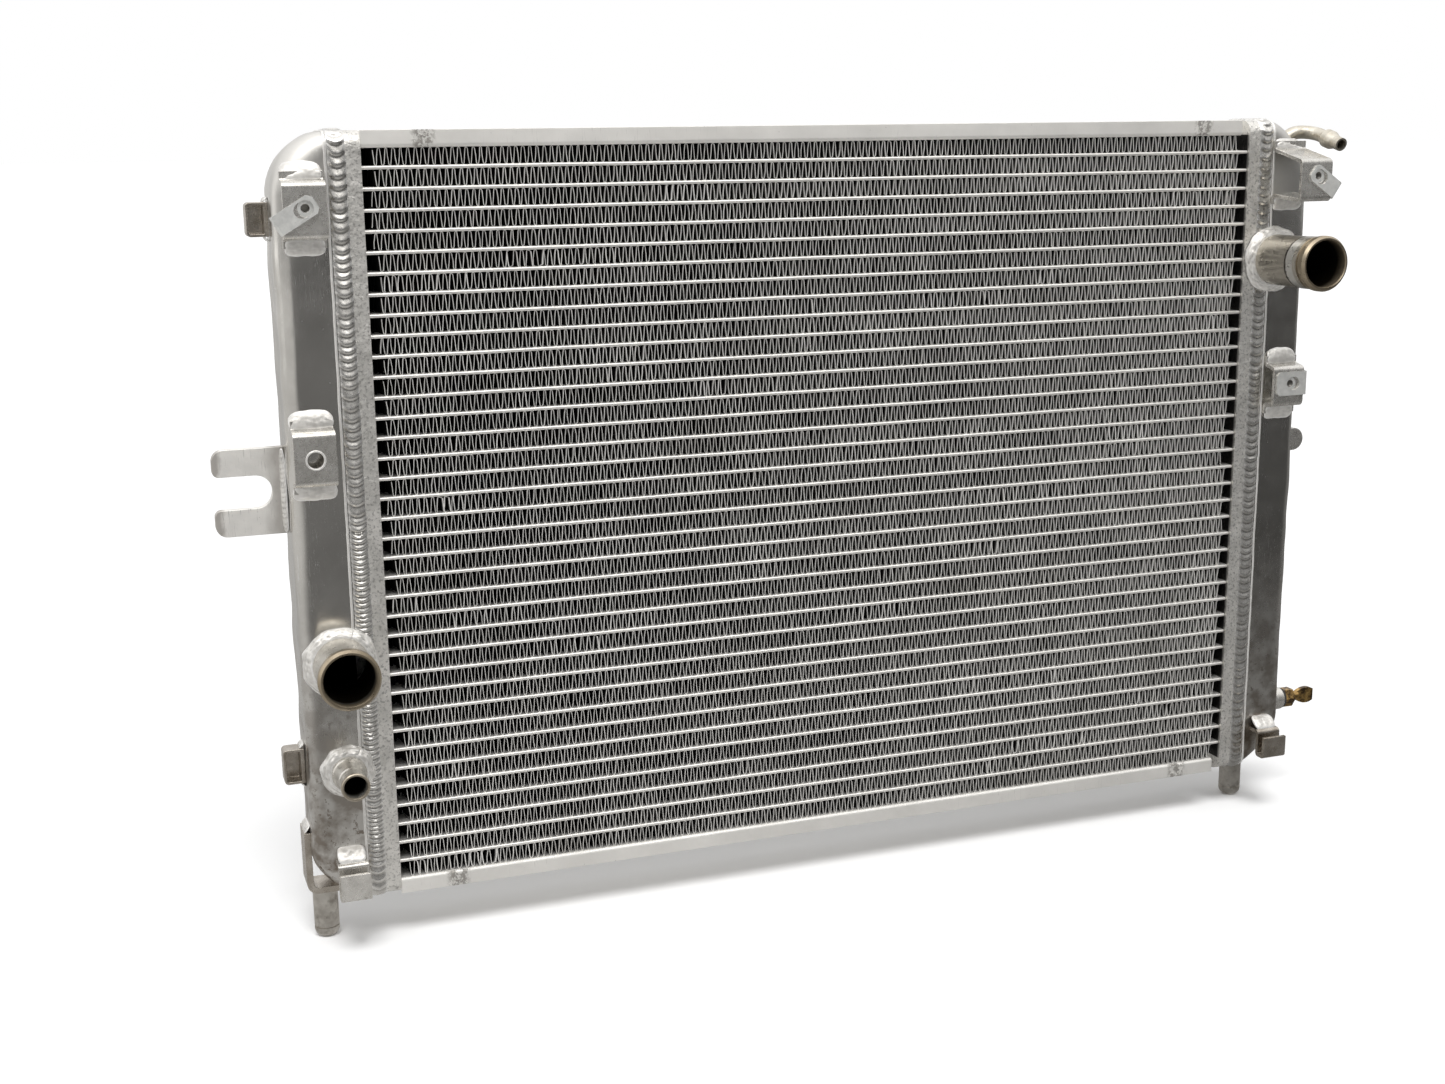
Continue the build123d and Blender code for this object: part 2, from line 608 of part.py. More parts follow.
# ---------------------------------------------------------------- assembly
def build():
    """All nodes by name, each a list of solids or one solid, in the core's frame."""
    skin_right = tank_skin()
    header_right = header_skin()
    skins_right = [header_right, skin_right]
    skins = Compound(skins_right + [mirror(skin, Plane.YZ) for skin in skins_right])
    tank_right = end_tank(skin_right)
    tank_left = mirror(tank_right, Plane.YZ)
    plate_right = header_plate()
    plate_left = mirror(plate_right, Plane.YZ)
    bead_right = seam_bead()
    bead_left = mirror(bead_right, Plane.YZ)

    necks = [
        (OUTLET_AXIS, NECK_RADIUS, 4.2, "left"),
        (INLET_AXIS, NECK_RADIUS, 4.2, "right"),
        (BYPASS_AXIS, 10.5, 4.6, "left"),
    ]
    for axis, radius, spread, side in necks:
        hole = rod_y(*axis, radius + NECK_FIT, -9, 9)
        clear = rod_y(*axis, radius + spread + 0.05, -9, 2)
        if side == "left":
            tank_left, plate_left, bead_left = tank_left - hole, plate_left - hole, bead_left - clear
        else:
            tank_right, plate_right, bead_right = tank_right - hole, plate_right - hole, bead_right - clear
    tank_right = tank_right - overflow_run(OVERFLOW_RADIUS + NECK_FIT)
    drain_hole = rod_x(DRAIN_Y, DRAIN_Z, SHANK_RADIUS + DRAIN_FIT, TANK_OUTER - 6, TANK_OUTER + 1)
    tank_right = tank_right - drain_hole

    nodes = {
        "cooling_tubes": cooling_tubes(),
        "fin_strips": fin_strips(),
        "top_side_plate": side_plate(1),
        "bottom_side_plate": side_plate(-1),
        "left_header_plate": plate_left,
        "right_header_plate": plate_right,
        "left_end_tank": tank_left,
        "right_end_tank": tank_right,
        "left_tank_weld": bead_left,
        "right_tank_weld": bead_right,
        "outlet_neck": hose_neck(OUTLET_AXIS, OUTLET_REACH, []),
        "inlet_neck": hose_neck(INLET_AXIS, INLET_REACH, [(-49.0, -38.0, 0.5), (-36.6, -34.8, 0.35)]),
        "bypass_neck": bypass_neck(),
        "outlet_neck_weld": neck_weld(OUTLET_AXIS, NECK_RADIUS, 4.2, skins),
        "inlet_neck_weld": neck_weld(INLET_AXIS, NECK_RADIUS, 4.2, skins),
        "bypass_neck_weld": neck_weld(BYPASS_AXIS, 10.5, 4.6, skins),
        "bracket_welds": bracket_welds(skins),
        "hook_welds": hook_welds(skins),
        "side_welds": side_welds(skins),
        "fork_bracket": fork_bracket(),
        "right_side_lug": side_lug(),
        "left_pin_strap": pin_strap(skins),
        "left_locating_pin": locating_pin(LEFT_PIN_X, STRAP_FOOT, skins),
        "right_locating_pin": locating_pin(RIGHT_PIN_X, -220.0, skins, PIN_SHOULDER),
        "overflow_tube": overflow_tube(),
        "drain_bung": drain_bung(),
        "drain_washer": drain_washer(),
        "drain_body": drain_body(),
        "drain_seal": drain_seal(),
        "drain_stem": drain_stem(),
    }
    for name in BRACKETS:
        nodes[name] = hat_bracket(name)
    for name in HOOKS:
        nodes[name] = lower_hook(name, skins)
    for name, (z0, z1) in TABS.items():
        nodes[name] = side_tab(z0, z1)
    for bracket, (node, *_) in CLIPS.items():
        nodes[node] = clip_nut(bracket)
    return nodes


def solids_of(shape):
    """Flatten a shape or a list of shapes to its solids."""
    shapes = shape if isinstance(shape, list) else [shape]
    return [solid for item in shapes for solid in item.solids()]


def main():
    os.makedirs("parts", exist_ok=True)
    nodes = {name: Compound(solids_of(shape)) for name, shape in build().items()}
    whole = Compound(list(nodes.values())).bounding_box()
    shift = Pos(-whole.center().X, -whole.center().Y, -whole.min.Z)
    for name, shape in nodes.items():
        export_step(shift * shape, f"parts/{name}.step")
    print("origin shift", [round(value, 3) for value in shift.position])
    print("size", [round(value, 3) for value in whole.size])


main()
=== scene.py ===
import json
import math
import random

import bmesh
import bpy
import numpy as np
from mathutils import Matrix, Vector, noise

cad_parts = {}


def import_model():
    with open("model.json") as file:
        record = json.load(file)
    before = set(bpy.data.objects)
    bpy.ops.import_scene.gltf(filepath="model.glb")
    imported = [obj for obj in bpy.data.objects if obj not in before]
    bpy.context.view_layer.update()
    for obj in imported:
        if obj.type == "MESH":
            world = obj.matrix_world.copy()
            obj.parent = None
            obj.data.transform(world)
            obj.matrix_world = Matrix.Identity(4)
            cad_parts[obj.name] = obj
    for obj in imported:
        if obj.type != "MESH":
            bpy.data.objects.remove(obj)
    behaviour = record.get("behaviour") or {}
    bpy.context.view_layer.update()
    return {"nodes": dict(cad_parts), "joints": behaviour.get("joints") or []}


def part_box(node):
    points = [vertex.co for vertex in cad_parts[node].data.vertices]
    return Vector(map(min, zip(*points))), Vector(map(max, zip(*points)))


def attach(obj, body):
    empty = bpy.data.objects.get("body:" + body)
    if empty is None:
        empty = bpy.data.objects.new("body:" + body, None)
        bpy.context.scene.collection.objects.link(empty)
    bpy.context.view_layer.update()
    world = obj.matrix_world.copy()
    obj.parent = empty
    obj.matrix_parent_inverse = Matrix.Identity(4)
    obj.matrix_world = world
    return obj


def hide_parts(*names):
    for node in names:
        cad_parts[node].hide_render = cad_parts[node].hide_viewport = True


# A welded aluminium crossflow radiator, dressed around its CAD model. Lengths are in metres.
# Pieces are drawn in the core's frame: X from the middle, Y from the tanks' front face, Z from the middle.

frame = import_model()
MM = 0.001

# ---------------------------------------------------------------- places, read from the frame
left_tank_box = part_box("left_end_tank")
right_tank_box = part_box("right_end_tank")
tube_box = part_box("cooling_tubes")
fin_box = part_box("fin_strips")
CORE = Vector((
    (left_tank_box[0].x + right_tank_box[1].x) / 2,
    right_tank_box[0].y,
    (right_tank_box[0].z + right_tank_box[1].z) / 2,
))


def core_box(node):
    """Lowest and highest corner of a CAD node in the core's frame."""
    low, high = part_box(node)
    return low - CORE, high - CORE


TANK_OUTER = right_tank_box[1].x - CORE.x
SEAM = right_tank_box[0].x - CORE.x
TANK_DEPTH = right_tank_box[1].y - right_tank_box[0].y
TANK_HALF_HEIGHT = right_tank_box[1].z - CORE.z
HEADER_FACE = core_box("right_header_plate")[0].x
TUBE_COUNT = 36
TUBE_THICK = 2 * MM
TUBE_PITCH = (tube_box[1].z - tube_box[0].z - TUBE_THICK) / (TUBE_COUNT - 1)
TUBE_HALF_LENGTH = (tube_box[1].x - tube_box[0].x) / 2
TUBE_FRONT = tube_box[0].y - CORE.y
TUBE_BACK = tube_box[1].y - CORE.y
FIN_FRONT = fin_box[0].y - CORE.y
FIN_BACK = fin_box[1].y - CORE.y

# Sizes of the tank that its box doesn't say
END_RADIUS = 36 * MM
EDGE_RADIUS = 9 * MM
CORNER_FULLNESS = 6 * MM     # how much fuller the front edge is at the middle of a corner
TANK_WALL = 2.5 * MM
NECK_FIT = 0.05 * MM
NECK_WELD_RISE = 5.2 * MM
SEAM_RIPPLE = 5.4 * MM

# Fins
FIN_WAVE = 4.2 * MM          # one full wave, two legs
FIN_FOIL = 0.32 * MM
FIN_BEND = 1.0 * MM
FIN_PINCH = 0.35 * MM        # how far a leg leans towards its neighbour at their shared bend
FIN_BOW = 2.0 * MM           # how far the legs bow sideways at mid depth, which hides what is behind them
FIN_LEFT = -296.6 * MM
FIN_RIGHT = 295.5 * MM
FIN_ROWS_PER_PIECE = 5

# Patches of combed and crushed fins: middle, half width and half height
CRUSHED = [
    (95 * MM, -150 * MM, 95 * MM, 40 * MM),
    (150 * MM, -75 * MM, 60 * MM, 50 * MM),
    (215 * MM, 20 * MM, 40 * MM, 60 * MM),
    (40 * MM, 215 * MM, 45 * MM, 12 * MM),
    (210 * MM, 170 * MM, 25 * MM, 25 * MM),
    (-60 * MM, -40 * MM, 30 * MM, 25 * MM),
]

# Studio light. The paper floor and the surround are brighter to the camera than in the metal's reflections.
ROOM_LIGHT = 0.6
SKY_LIGHT = 0.66
MIRRORED_FLOOR = 0.62
DARK_CARD = 0.165
SURROUND_FRONT = 0.2
SURROUND_BACK = 0.72
SURROUND_TOP = 0.45
WARM_WHITE = (1.0, 0.985, 0.96)

INSIDE_SHADE = (0.02, 0.017, 0.013)   # painted shade: near black for the inside of the tanks, headers, tubes and welds


# ---------------------------------------------------------------- meshes
def put(name, data):
    """A new object in the scene."""
    made = bpy.data.objects.new(name, data)
    bpy.context.scene.collection.objects.link(made)
    return made


def dress(piece, material, replaces, body):
    """Give a piece its material and its body, and hide the CAD nodes that it replaces."""
    piece.data.materials.clear()
    piece.data.materials.append(material)
    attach(piece, body)
    if replaces:
        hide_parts(*replaces)
    return piece


def add_piece(name, points, quads, material, replaces=(), body="radiator", sharp=40):
    """A piece from an array of points in the core's frame and an array of quads."""
    points = np.asarray(points, float).reshape(-1, 3) + np.array(CORE)
    quads = np.asarray(quads, np.int32).reshape(-1, 4)
    mesh = bpy.data.meshes.new(name)
    mesh.vertices.add(len(points))
    mesh.vertices.foreach_set("co", points.astype(np.float32).ravel())
    mesh.loops.add(quads.size)
    mesh.loops.foreach_set("vertex_index", quads.ravel())
    mesh.polygons.add(len(quads))
    mesh.polygons.foreach_set("loop_start", np.arange(0, quads.size, 4, dtype=np.int32))
    mesh.update(calc_edges=True)
    mesh.validate()
    mesh.shade_smooth()
    mesh.set_sharp_from_angle(angle=math.radians(sharp))
    return dress(put(name, mesh), material, replaces, body)


def mend(mesh, gap):
    """Join points that meet and turn every face outward."""
    work = bmesh.new()
    work.from_mesh(mesh)
    bmesh.ops.remove_doubles(work, verts=work.verts, dist=gap)
    bmesh.ops.recalc_face_normals(work, faces=work.faces)
    work.to_mesh(mesh)
    work.free()


def grid_quads(count_u, count_v, closed_u=False, closed_v=False, start=0):
    """Quads over a grid of points, which may close on itself either way."""
    u = np.arange(count_u if closed_u else count_u - 1)
    v = np.arange(count_v if closed_v else count_v - 1)
    u, v = np.meshgrid(u, v, indexing="ij")
    next_u, next_v = (u + 1) % count_u, (v + 1) % count_v
    corners = [u * count_v + v, next_u * count_v + v, next_u * count_v + next_v, u * count_v + next_v]
    return np.stack(corners, axis=-1).reshape(-1, 4) + start


def apply_modifiers(piece):
    """Turn a piece's modifiers into plain mesh."""
    graph = bpy.context.evaluated_depsgraph_get()
    mesh = bpy.data.meshes.new_from_object(piece.evaluated_get(graph), depsgraph=graph)
    piece.modifiers.clear()
    piece.data = mesh


def cut(piece, holes):
    """Cut round holes, each given by its centre, radius and direction, through a piece."""
    cutters = []
    for centre, radius, direction in holes:
        bpy.ops.mesh.primitive_cylinder_add(vertices=72, radius=radius, depth=24 * MM)
        cutter = bpy.context.object
        turn = direction.to_track_quat("Z", "Y").to_matrix().to_4x4()
        cutter.matrix_world = Matrix.Translation(CORE + Vector(centre)) @ turn
        made = piece.modifiers.new("hole", "BOOLEAN")
        made.object = cutter
        made.solver = "EXACT"
        cutters.append(cutter)
    bpy.context.view_layer.update()
    apply_modifiers(piece)
    for cutter in cutters:
        bpy.data.objects.remove(cutter)


def smooth_noise(count, spacing, size, seed):
    """A smooth random curve of a given wavelength, sampled at even spacing, from -size to size."""
    return np.array([noise.noise(Vector((i * spacing, seed * 7.3, seed * 1.7))) for i in range(count)]) * size


def worn_copy(node, material, edge, body="radiator"):
    """The CAD node's own shape with its sharp edges worn round."""
    mesh = frame["nodes"][node].data.copy()
    if "custom_normal" in mesh.attributes:
        mesh.attributes.remove(mesh.attributes["custom_normal"])
    work = bmesh.new()
    work.from_mesh(mesh)
    bmesh.ops.remove_doubles(work, verts=work.verts, dist=2e-6)
    bmesh.ops.dissolve_limit(work, angle_limit=math.radians(0.6), verts=work.verts, edges=work.edges)
    work.to_mesh(mesh)
    work.free()
    mesh.shade_smooth()
    piece = put(node + "_worn", mesh)
    bevel = piece.modifiers.new("worn_edges", "BEVEL")
    bevel.width = edge
    bevel.segments = 2
    bevel.limit_method = "ANGLE"
    bevel.angle_limit = math.radians(38)
    piece.modifiers.new("flat_faces", "WEIGHTED_NORMAL").weight = 90
    apply_modifiers(piece)
    dress(piece, material, (node,), body)


# ---------------------------------------------------------------- nodes
class Nodes:
    """Short ways to add nodes to a tree."""

    def __init__(self, tree, coordinates):
        self.tree = tree
        self.place = self.add("TexCoord").outputs[coordinates]

    def feed(self, socket, value):
        if isinstance(value, bpy.types.NodeSocket):
            self.tree.links.new(value, socket)
        else:
            socket.default_value = value

    def add(self, kind, **inputs):
        made = self.tree.nodes.new("ShaderNode" + kind)
        for name, value in inputs.items():
            self.feed(made.inputs[name], value)
        return made

    def math(self, operation, a, b=0.0):
        made = self.add("Math")
        made.operation = operation
        self.feed(made.inputs[0], a)
        self.feed(made.inputs[1], b)
        return made.outputs["Value"]

    def times(self, a, b):
        return self.math("MULTIPLY", a, b)

    def plus(self, a, b):
        return self.math("ADD", a, b)

    def minus(self, a, b):
        return self.math("SUBTRACT", a, b)

    def ranged(self, value, *limits, kind="LINEAR"):
        """A value carried from one range to another; limits are from low, from high, to low, to high."""
        made = self.add("MapRange", Value=value)
        made.interpolation_type = kind
        for name, number in zip(("From Min", "From Max", "To Min", "To Max"), limits):
            made.inputs[name].default_value = number
        return made.outputs["Result"]

    def axis(self, name):
        """One coordinate of the place."""
        return self.add("SeparateXYZ", Vector=self.place).outputs[name]

    def ramp(self, name, *limits):
        """A smooth change along an axis."""
        return self.ranged(self.axis(name), *limits, kind="SMOOTHSTEP")

    def off(self, name, middle):
        """Distance along an axis from a given coordinate, either way."""
        return self.math("ABSOLUTE", self.minus(self.axis(name), middle))


class Shader(Nodes):
    """A material whose textures use the object's own coordinates."""

    def __init__(self, name, metallic=1.0, specular=0.5):
        self.material = bpy.data.materials.new(name)
        self.material.use_nodes = True
        super().__init__(self.material.node_tree, "Object")
        self.surface = self.tree.nodes["Principled BSDF"]
        self.surface.inputs["Metallic"].default_value = metallic
        self.surface.inputs["Specular IOR Level"].default_value = specular

    def noise(self, scale, detail=3.0, roughness=0.55, stretch=None, distortion=0.0):
        """Noise; stretch scales the place by a different factor along each axis."""
        place = self.add("Mapping", Vector=self.place, Scale=stretch).outputs["Vector"] if stretch else self.place
        made = self.add("TexNoise", Vector=place, Scale=scale, Detail=detail, Roughness=roughness,
                        Distortion=distortion)
        return made.outputs["Fac"]

    def patches(self, scale, low, high, strength, detail=3.0, roughness=0.55):
        """Random patches, from 0 to a strength."""
        return self.ranged(self.noise(scale, detail, roughness), low, high, 0.0, strength)

    def mix(self, share, a, b):
        """A colour between a and b."""
        made = self.add("Mix")
        made.data_type = "RGBA"
        self.feed(made.inputs["Factor"], share)
        for socket, value in ((made.inputs[6], a), (made.inputs[7], b)):
            self.feed(socket, value if isinstance(value, bpy.types.NodeSocket) else (*value, 1.0))
        return made.outputs[2]

    def within(self, low, high):
        """1 inside a box and 0 outside it."""
        split = self.add("SeparateXYZ", Vector=self.place)
        mask = 1.0
        for axis, a, b in zip("XYZ", low, high):
            mask = self.times(mask, self.math("GREATER_THAN", split.outputs[axis], a))
            mask = self.times(mask, self.math("LESS_THAN", split.outputs[axis], b))
        return mask

    def bump(self, height, distance, below=None):
        made = self.add("Bump", Height=height, Distance=distance, Strength=1.0)
        if below:
            self.feed(made.inputs["Normal"], below)
        return made.outputs["Normal"]

    def use(self, colour, roughness, normal):
        for name, value in (("Base Color", colour), ("Roughness", roughness), ("Normal", normal)):
            self.feed(self.surface.inputs[name], value)
        return self.material


# ---------------------------------------------------------------- materials
def metal(name, light, dark, rough, blotch, brush=None, brush_depth=0.01, grain=0.0, grain_size=1500.0,
          metallic=1.0):
    """Bare metal with cloudy oxide, smudged gloss, optional brushing and grain. Returns its unfinished parts."""
    shader = Shader(name, metallic)
    light, dark = ((c[0], 0.985 * c[1], 0.96 * c[2]) for c in (light, dark))
    clouds = shader.noise(blotch, 5.0, 0.6)
    smudge = shader.noise(blotch * 3.1, 4.0, 0.65, distortion=0.4)
    colour = shader.mix(shader.ranged(clouds, 0.32, 0.68, 0.0, 1.0), dark, light)
    roughness = shader.ranged(smudge, 0.3, 0.7, *rough)
    normal = shader.bump(shader.noise(blotch * 5), 0.02 * MM)
    if brush:
        normal = shader.bump(shader.noise(1.0, 3.0, 0.7, stretch=brush), brush_depth * MM, normal)
    if grain:
        normal = shader.bump(shader.noise(grain_size, 3.0, 0.6), grain * MM, normal)
    return shader, colour, roughness, normal


def stained(patches, tint, *look, **details):
    """A finished metal with patches of a tint."""
    shader, colour, roughness, normal = metal(*look, **details)
    return shader.use(shader.mix(shader.patches(*patches), colour, tint), roughness, normal)


def scratches(shader, colour, roughness, amount, tone):
    """Thin straight scratches and tiny nicks that catch the light."""
    lines = shader.noise(1.0, 2.0, stretch=(1900, 900, 60), distortion=1.2)
    mask = shader.times(shader.ranged(lines, 0.66, 0.70, 0.0, amount), shader.patches(9.0, 0.45, 0.6, 1.0, 1.0))
    mask = shader.math("MAXIMUM", mask, shader.patches(420.0, 0.74, 0.78, amount, 2.0))
    return shader.mix(mask, colour, tone), shader.plus(roughness, shader.times(mask, 0.25))


def tank_material():
    """Polished sheet, drawn along its height and lightly scratched, stained low down and dull near the top."""
    shader, colour, roughness, normal = metal(
        "tank_aluminium", (0.80, 0.795, 0.78), (0.66, 0.655, 0.64), (0.13, 0.24), 22.0, (2400, 2400, 55), 0.008)
    colour, roughness = scratches(shader, colour, roughness, 0.8, (0.93, 0.93, 0.92))
    low_down = shader.ranged(shader.axis("Z"), 0.05, 0.22, 1.0, 0.0)
    stain = shader.ranged(shader.noise(75.0, 5.0), 0.42, 0.62, 0.08, 0.85)
    grime = shader.math("MAXIMUM", shader.patches(240.0, 0.57, 0.63, 0.9, 4.0, 0.7), stain)
    colour = shader.mix(shader.times(grime, low_down), colour, (0.19, 0.145, 0.105))
    top = CORE.z + TANK_HALF_HEIGHT
    high_up = shader.ranged(shader.axis("Z"), top - 62 * MM, top - 30 * MM, 0.0, 0.24)
    roughness = shader.plus(shader.plus(roughness, shader.times(low_down, 0.2)), high_up)
    # painted shade: near black inside both tanks, a little in from their skins
    skin, inward = Vector((10 * MM, 2.4 * MM, 45 * MM)), Vector((30 * MM, 0, 0))
    for box in (left_tank_box, right_tank_box):
        inside = shader.within(box[0] + skin - inward * (box is right_tank_box),
                               box[1] - skin + inward * (box is left_tank_box))
        colour = shader.mix(inside, colour, INSIDE_SHADE)
    return shader.use(colour, roughness, normal)


def header_material():
    """Blasted sheet with a speckled, slightly lumpy skin, painted black as shade inside the tank and on its face
    towards the fins.
    """
    shader, colour, roughness, normal = metal(
        "header_aluminium", (0.93, 0.92, 0.90), (0.68, 0.675, 0.655), (0.34, 0.5), 100.0,
        grain=0.2, grain_size=700.0, metallic=0.82)
    normal = shader.bump(shader.noise(230.0, 3.0, 0.6), 0.7 * MM, normal)
    colour = shader.mix(shader.patches(560.0, 0.52, 0.66, 0.7), colour, (0.30, 0.29, 0.275))
    # painted shade: near black inside both headers
    wall, beyond = Vector((1.6 * MM, 2.2 * MM, 12 * MM)), Vector((4 * MM, 0, 0))
    for name, side in (("left_header_plate", -1), ("right_header_plate", 1)):
        low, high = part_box(name)
        inside = shader.within(low + wall - beyond * (side < 0), high - wall + beyond * (side > 0))
        colour = shader.mix(inside, colour, INSIDE_SHADE)
    # painted shade: near black on the headers' faces towards the core, behind the front, level with the fins
    core_side_shade = shader.times(shader.math("LESS_THAN", shader.off("X", CORE.x), HEADER_FACE + 0.3 * MM),
                             shader.ranged(shader.axis("Y"), CORE.y + 0.5 * MM, CORE.y + 3 * MM, 0.0, 0.97))
    fin_level = core_box("fin_strips")[1].z + 0.5 * MM
    core_side_shade = shader.times(core_side_shade, shader.math("LESS_THAN", shader.off("Z", CORE.z), fin_level))
    return shader.use(shader.mix(core_side_shade, colour, (0.012, 0.011, 0.01)), roughness, normal)


def weld_material(name="weld_metal", light=(0.90, 0.895, 0.88), dark=(0.66, 0.65, 0.63), rough=(0.22, 0.36),
                  metallic=1.0):
    """Weld metal with painted highlights on its crests, painted shade in its valleys and painted shade inside the
    radiator.
    """
    shader, colour, roughness, normal = metal(name, light, dark, rough, 170.0, grain=0.016, metallic=metallic)
    pointed = shader.add("NewGeometry").outputs["Pointiness"]
    colour = shader.mix(shader.patches(60.0, 0.5, 0.7, 0.35, 4.0, 0.6), colour, (0.36, 0.35, 0.33))
    # painted highlight: the sharpest crests of the ripples are lightened
    colour = shader.mix(shader.ranged(pointed, 0.505, 0.56, 0.0, 0.8), colour, (0.96, 0.95, 0.93))
    # painted shade: the hollows between the ripples are darkened
    colour = shader.mix(shader.ranged(pointed, 0.43, 0.497, 0.93, 0.0), colour, (0.12, 0.115, 0.11))
    # painted shade: near black for weld metal inside the radiator
    reach = Vector((TANK_OUTER - 3 * MM, 0, TANK_HALF_HEIGHT - 12 * MM))
    skin = Vector((0, 6.5 * MM, 0))
    inside = shader.within(CORE - reach + skin, CORE + reach + Vector((0, TANK_DEPTH, 0)) - skin)
    return shader.use(shader.mix(inside, colour, INSIDE_SHADE), roughness, normal)


def tube_material():
    """Satin brazed tube, nearly white where the light meets its nose."""
    shader, colour, roughness, normal = metal(
        "tube_aluminium", (0.98, 0.975, 0.96), (0.88, 0.875, 0.86), (0.36, 0.5), 120.0,
        grain=0.03, grain_size=1400.0, metallic=0.8)
    # painted shade: near black where the tubes run inside the headers
    inside = shader.math("GREATER_THAN", shader.off("X", CORE.x), HEADER_FACE + 1 * MM)
    return shader.use(shader.mix(inside, colour, INSIDE_SHADE), roughness, normal)


def fin_material():
    """Rolled foil with dusty patches, pale at its edges and painted dark deeper in as the shade between its legs,
    with louvres.
    """
    shader, colour, roughness, normal = metal(
        "fin_aluminium", (0.97, 0.965, 0.95), (0.80, 0.795, 0.78), (0.3, 0.45), 30.0)
    place = shader.axis("Y")
    depth = shader.math("MINIMUM", shader.minus(place, CORE.y + FIN_FRONT), shader.minus(CORE.y + FIN_BACK, place))
    legs = shader.noise(1.0, 1.0, stretch=(520, 12, 40))
    colour = shader.mix(shader.ranged(legs, 0.35, 0.65, 0.0, 0.5), colour, (0.36, 0.355, 0.345))
    colour = shader.mix(shader.patches(14.0, 0.55, 0.75, 0.4, 4.0), colour, (0.30, 0.27, 0.23))
    # painted shade: the foil darkens to near black within a few millimetres of its front and back edges, for the
    # shade between the legs
    colour = shader.mix(shader.ranged(depth, 0.4 * MM, 1.3 * MM, 0.0, 0.88), colour, (0.06, 0.058, 0.055))
    colour = shader.mix(shader.ranged(depth, 1.1 * MM, 2.6 * MM, 0.0, 0.98), colour, (0.008, 0.008, 0.008))
    louvres = shader.add("TexWave", Vector=shader.place, Scale=120.0)
    louvres.wave_type = "BANDS"
    louvres.bands_direction = "Y"
    shader.surface.inputs["Specular IOR Level"].default_value = 0.0
    shader.feed(shader.surface.inputs["Metallic"], shader.ranged(depth, 0.4 * MM, 1.3 * MM, 0.5, 0.0))
    return shader.use(colour, roughness, shader.bump(louvres.outputs["Fac"], 0.12 * MM, normal))


def plate_material():
    """Plain mill-finish sheet for the side plates, with a stake mark near each end of their front flange."""
    shader, colour, roughness, normal = metal(
        "plate_aluminium", (0.90, 0.895, 0.88), (0.80, 0.795, 0.78), (0.5, 0.62), 26.0, (30, 1800, 1800), 0.012,
        metallic=0.7)
    colour, roughness = scratches(shader, colour, roughness, 0.5, (0.55, 0.54, 0.52))
    from_mark = shader.math("ABSOLUTE", shader.minus(shader.off("X", CORE.x), 262 * MM))
    marks = shader.times(shader.ranged(from_mark, 4 * MM, 8 * MM, 1.0, 0.0),
                         shader.patches(330.0, 0.46, 0.54, 1.0, 4.0, 0.7))
    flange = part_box("top_side_plate")[0].y + 1.2 * MM
    marks = shader.times(marks, shader.math("LESS_THAN", shader.axis("Y"), flange))
    colour = shader.mix(shader.times(marks, 0.7), colour, (0.22, 0.20, 0.175))
    return shader.use(colour, roughness, shader.bump(marks, 0.5 * MM, normal))


def bracket_material(name="bracket_aluminium", light=(0.82, 0.81, 0.79), dark=(0.62, 0.61, 0.585), metallic=0.88):
    """Cut and folded sheet, brushed across, with grimy patches."""
    return stained((150.0, 0.58, 0.75, 0.6, 5.0, 0.7), (0.25, 0.22, 0.19), name, light, dark, (0.2, 0.36), 110.0,
                   (60, 2600, 2600), 0.006, 0.005, 1800.0, metallic)


def neck_material(name, node, bore, bands):
    """Turned tube with fine tool rings, in bands of tarnish from its mouth, and painted near black inside its bore
    as shade.
    """
    low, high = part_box(node)
    shader, colour, roughness, normal = metal(
        name, (0.82, 0.805, 0.77), (0.62, 0.605, 0.57), (0.24, 0.4), 90.0, (90, 5200, 90), 0.012)
    depth = shader.minus(shader.axis("Y"), low.y)
    ragged = shader.plus(depth, shader.ranged(shader.noise(140.0, 4.0), 0.0, 1.0, -1.1 * MM, 1.1 * MM))
    for start, end, strength, tint in bands:
        near = shader.ranged(ragged, start - 0.5 * MM, start + 0.5 * MM, 0.0, strength)
        far = shader.ranged(ragged, end - 0.5 * MM, end + 0.5 * MM, 1.0, 0.0)
        colour = shader.mix(shader.times(near, far), colour, tint)
    squares = [shader.math("POWER", shader.minus(shader.axis(name), middle), 2.0)
               for name, middle in (("X", (low.x + high.x) / 2), ("Z", (low.z + high.z) / 2))]
    out = shader.math("POWER", shader.plus(*squares), 0.5)
    # painted shade: near black inside the bore, darkest deep in
    inside = shader.math("LESS_THAN", out, bore + 0.25 * MM)
    deep = shader.ranged(depth, 0.8 * MM, 9 * MM, 0.25, 1.0)
    colour = shader.mix(shader.times(inside, deep), colour, (0.018, 0.014, 0.009))
    return shader.use(colour, shader.plus(roughness, shader.times(inside, 0.35)), normal)


def overflow_material():
    """Small tube with a pale tan film."""
    shader, *finish = metal(
        "overflow_metal", (0.80, 0.77, 0.70), (0.60, 0.56, 0.48), (0.34, 0.5), 150.0, grain=0.03)
    return shader.use(*finish)


def zinc_material():
    """Zinc plate with a faint cloudy spangle."""
    return stained((500.0, 0.66, 0.74, 0.6), (0.34, 0.33, 0.31), "clip_zinc", (0.80, 0.81, 0.80),
                   (0.64, 0.65, 0.645), (0.34, 0.48), 210.0, grain=0.02, grain_size=2600.0, metallic=0.6)


def brass_material():
    """Old brass: brown-black oxide with golden rubbed patches."""
    return stained((190.0, 0.43, 0.56, 0.92, 5.0, 0.7), (0.07, 0.045, 0.03), "tap_brass", (0.86, 0.58, 0.22),
                   (0.30, 0.18, 0.07), (0.18, 0.42), 230.0, grain=0.04)


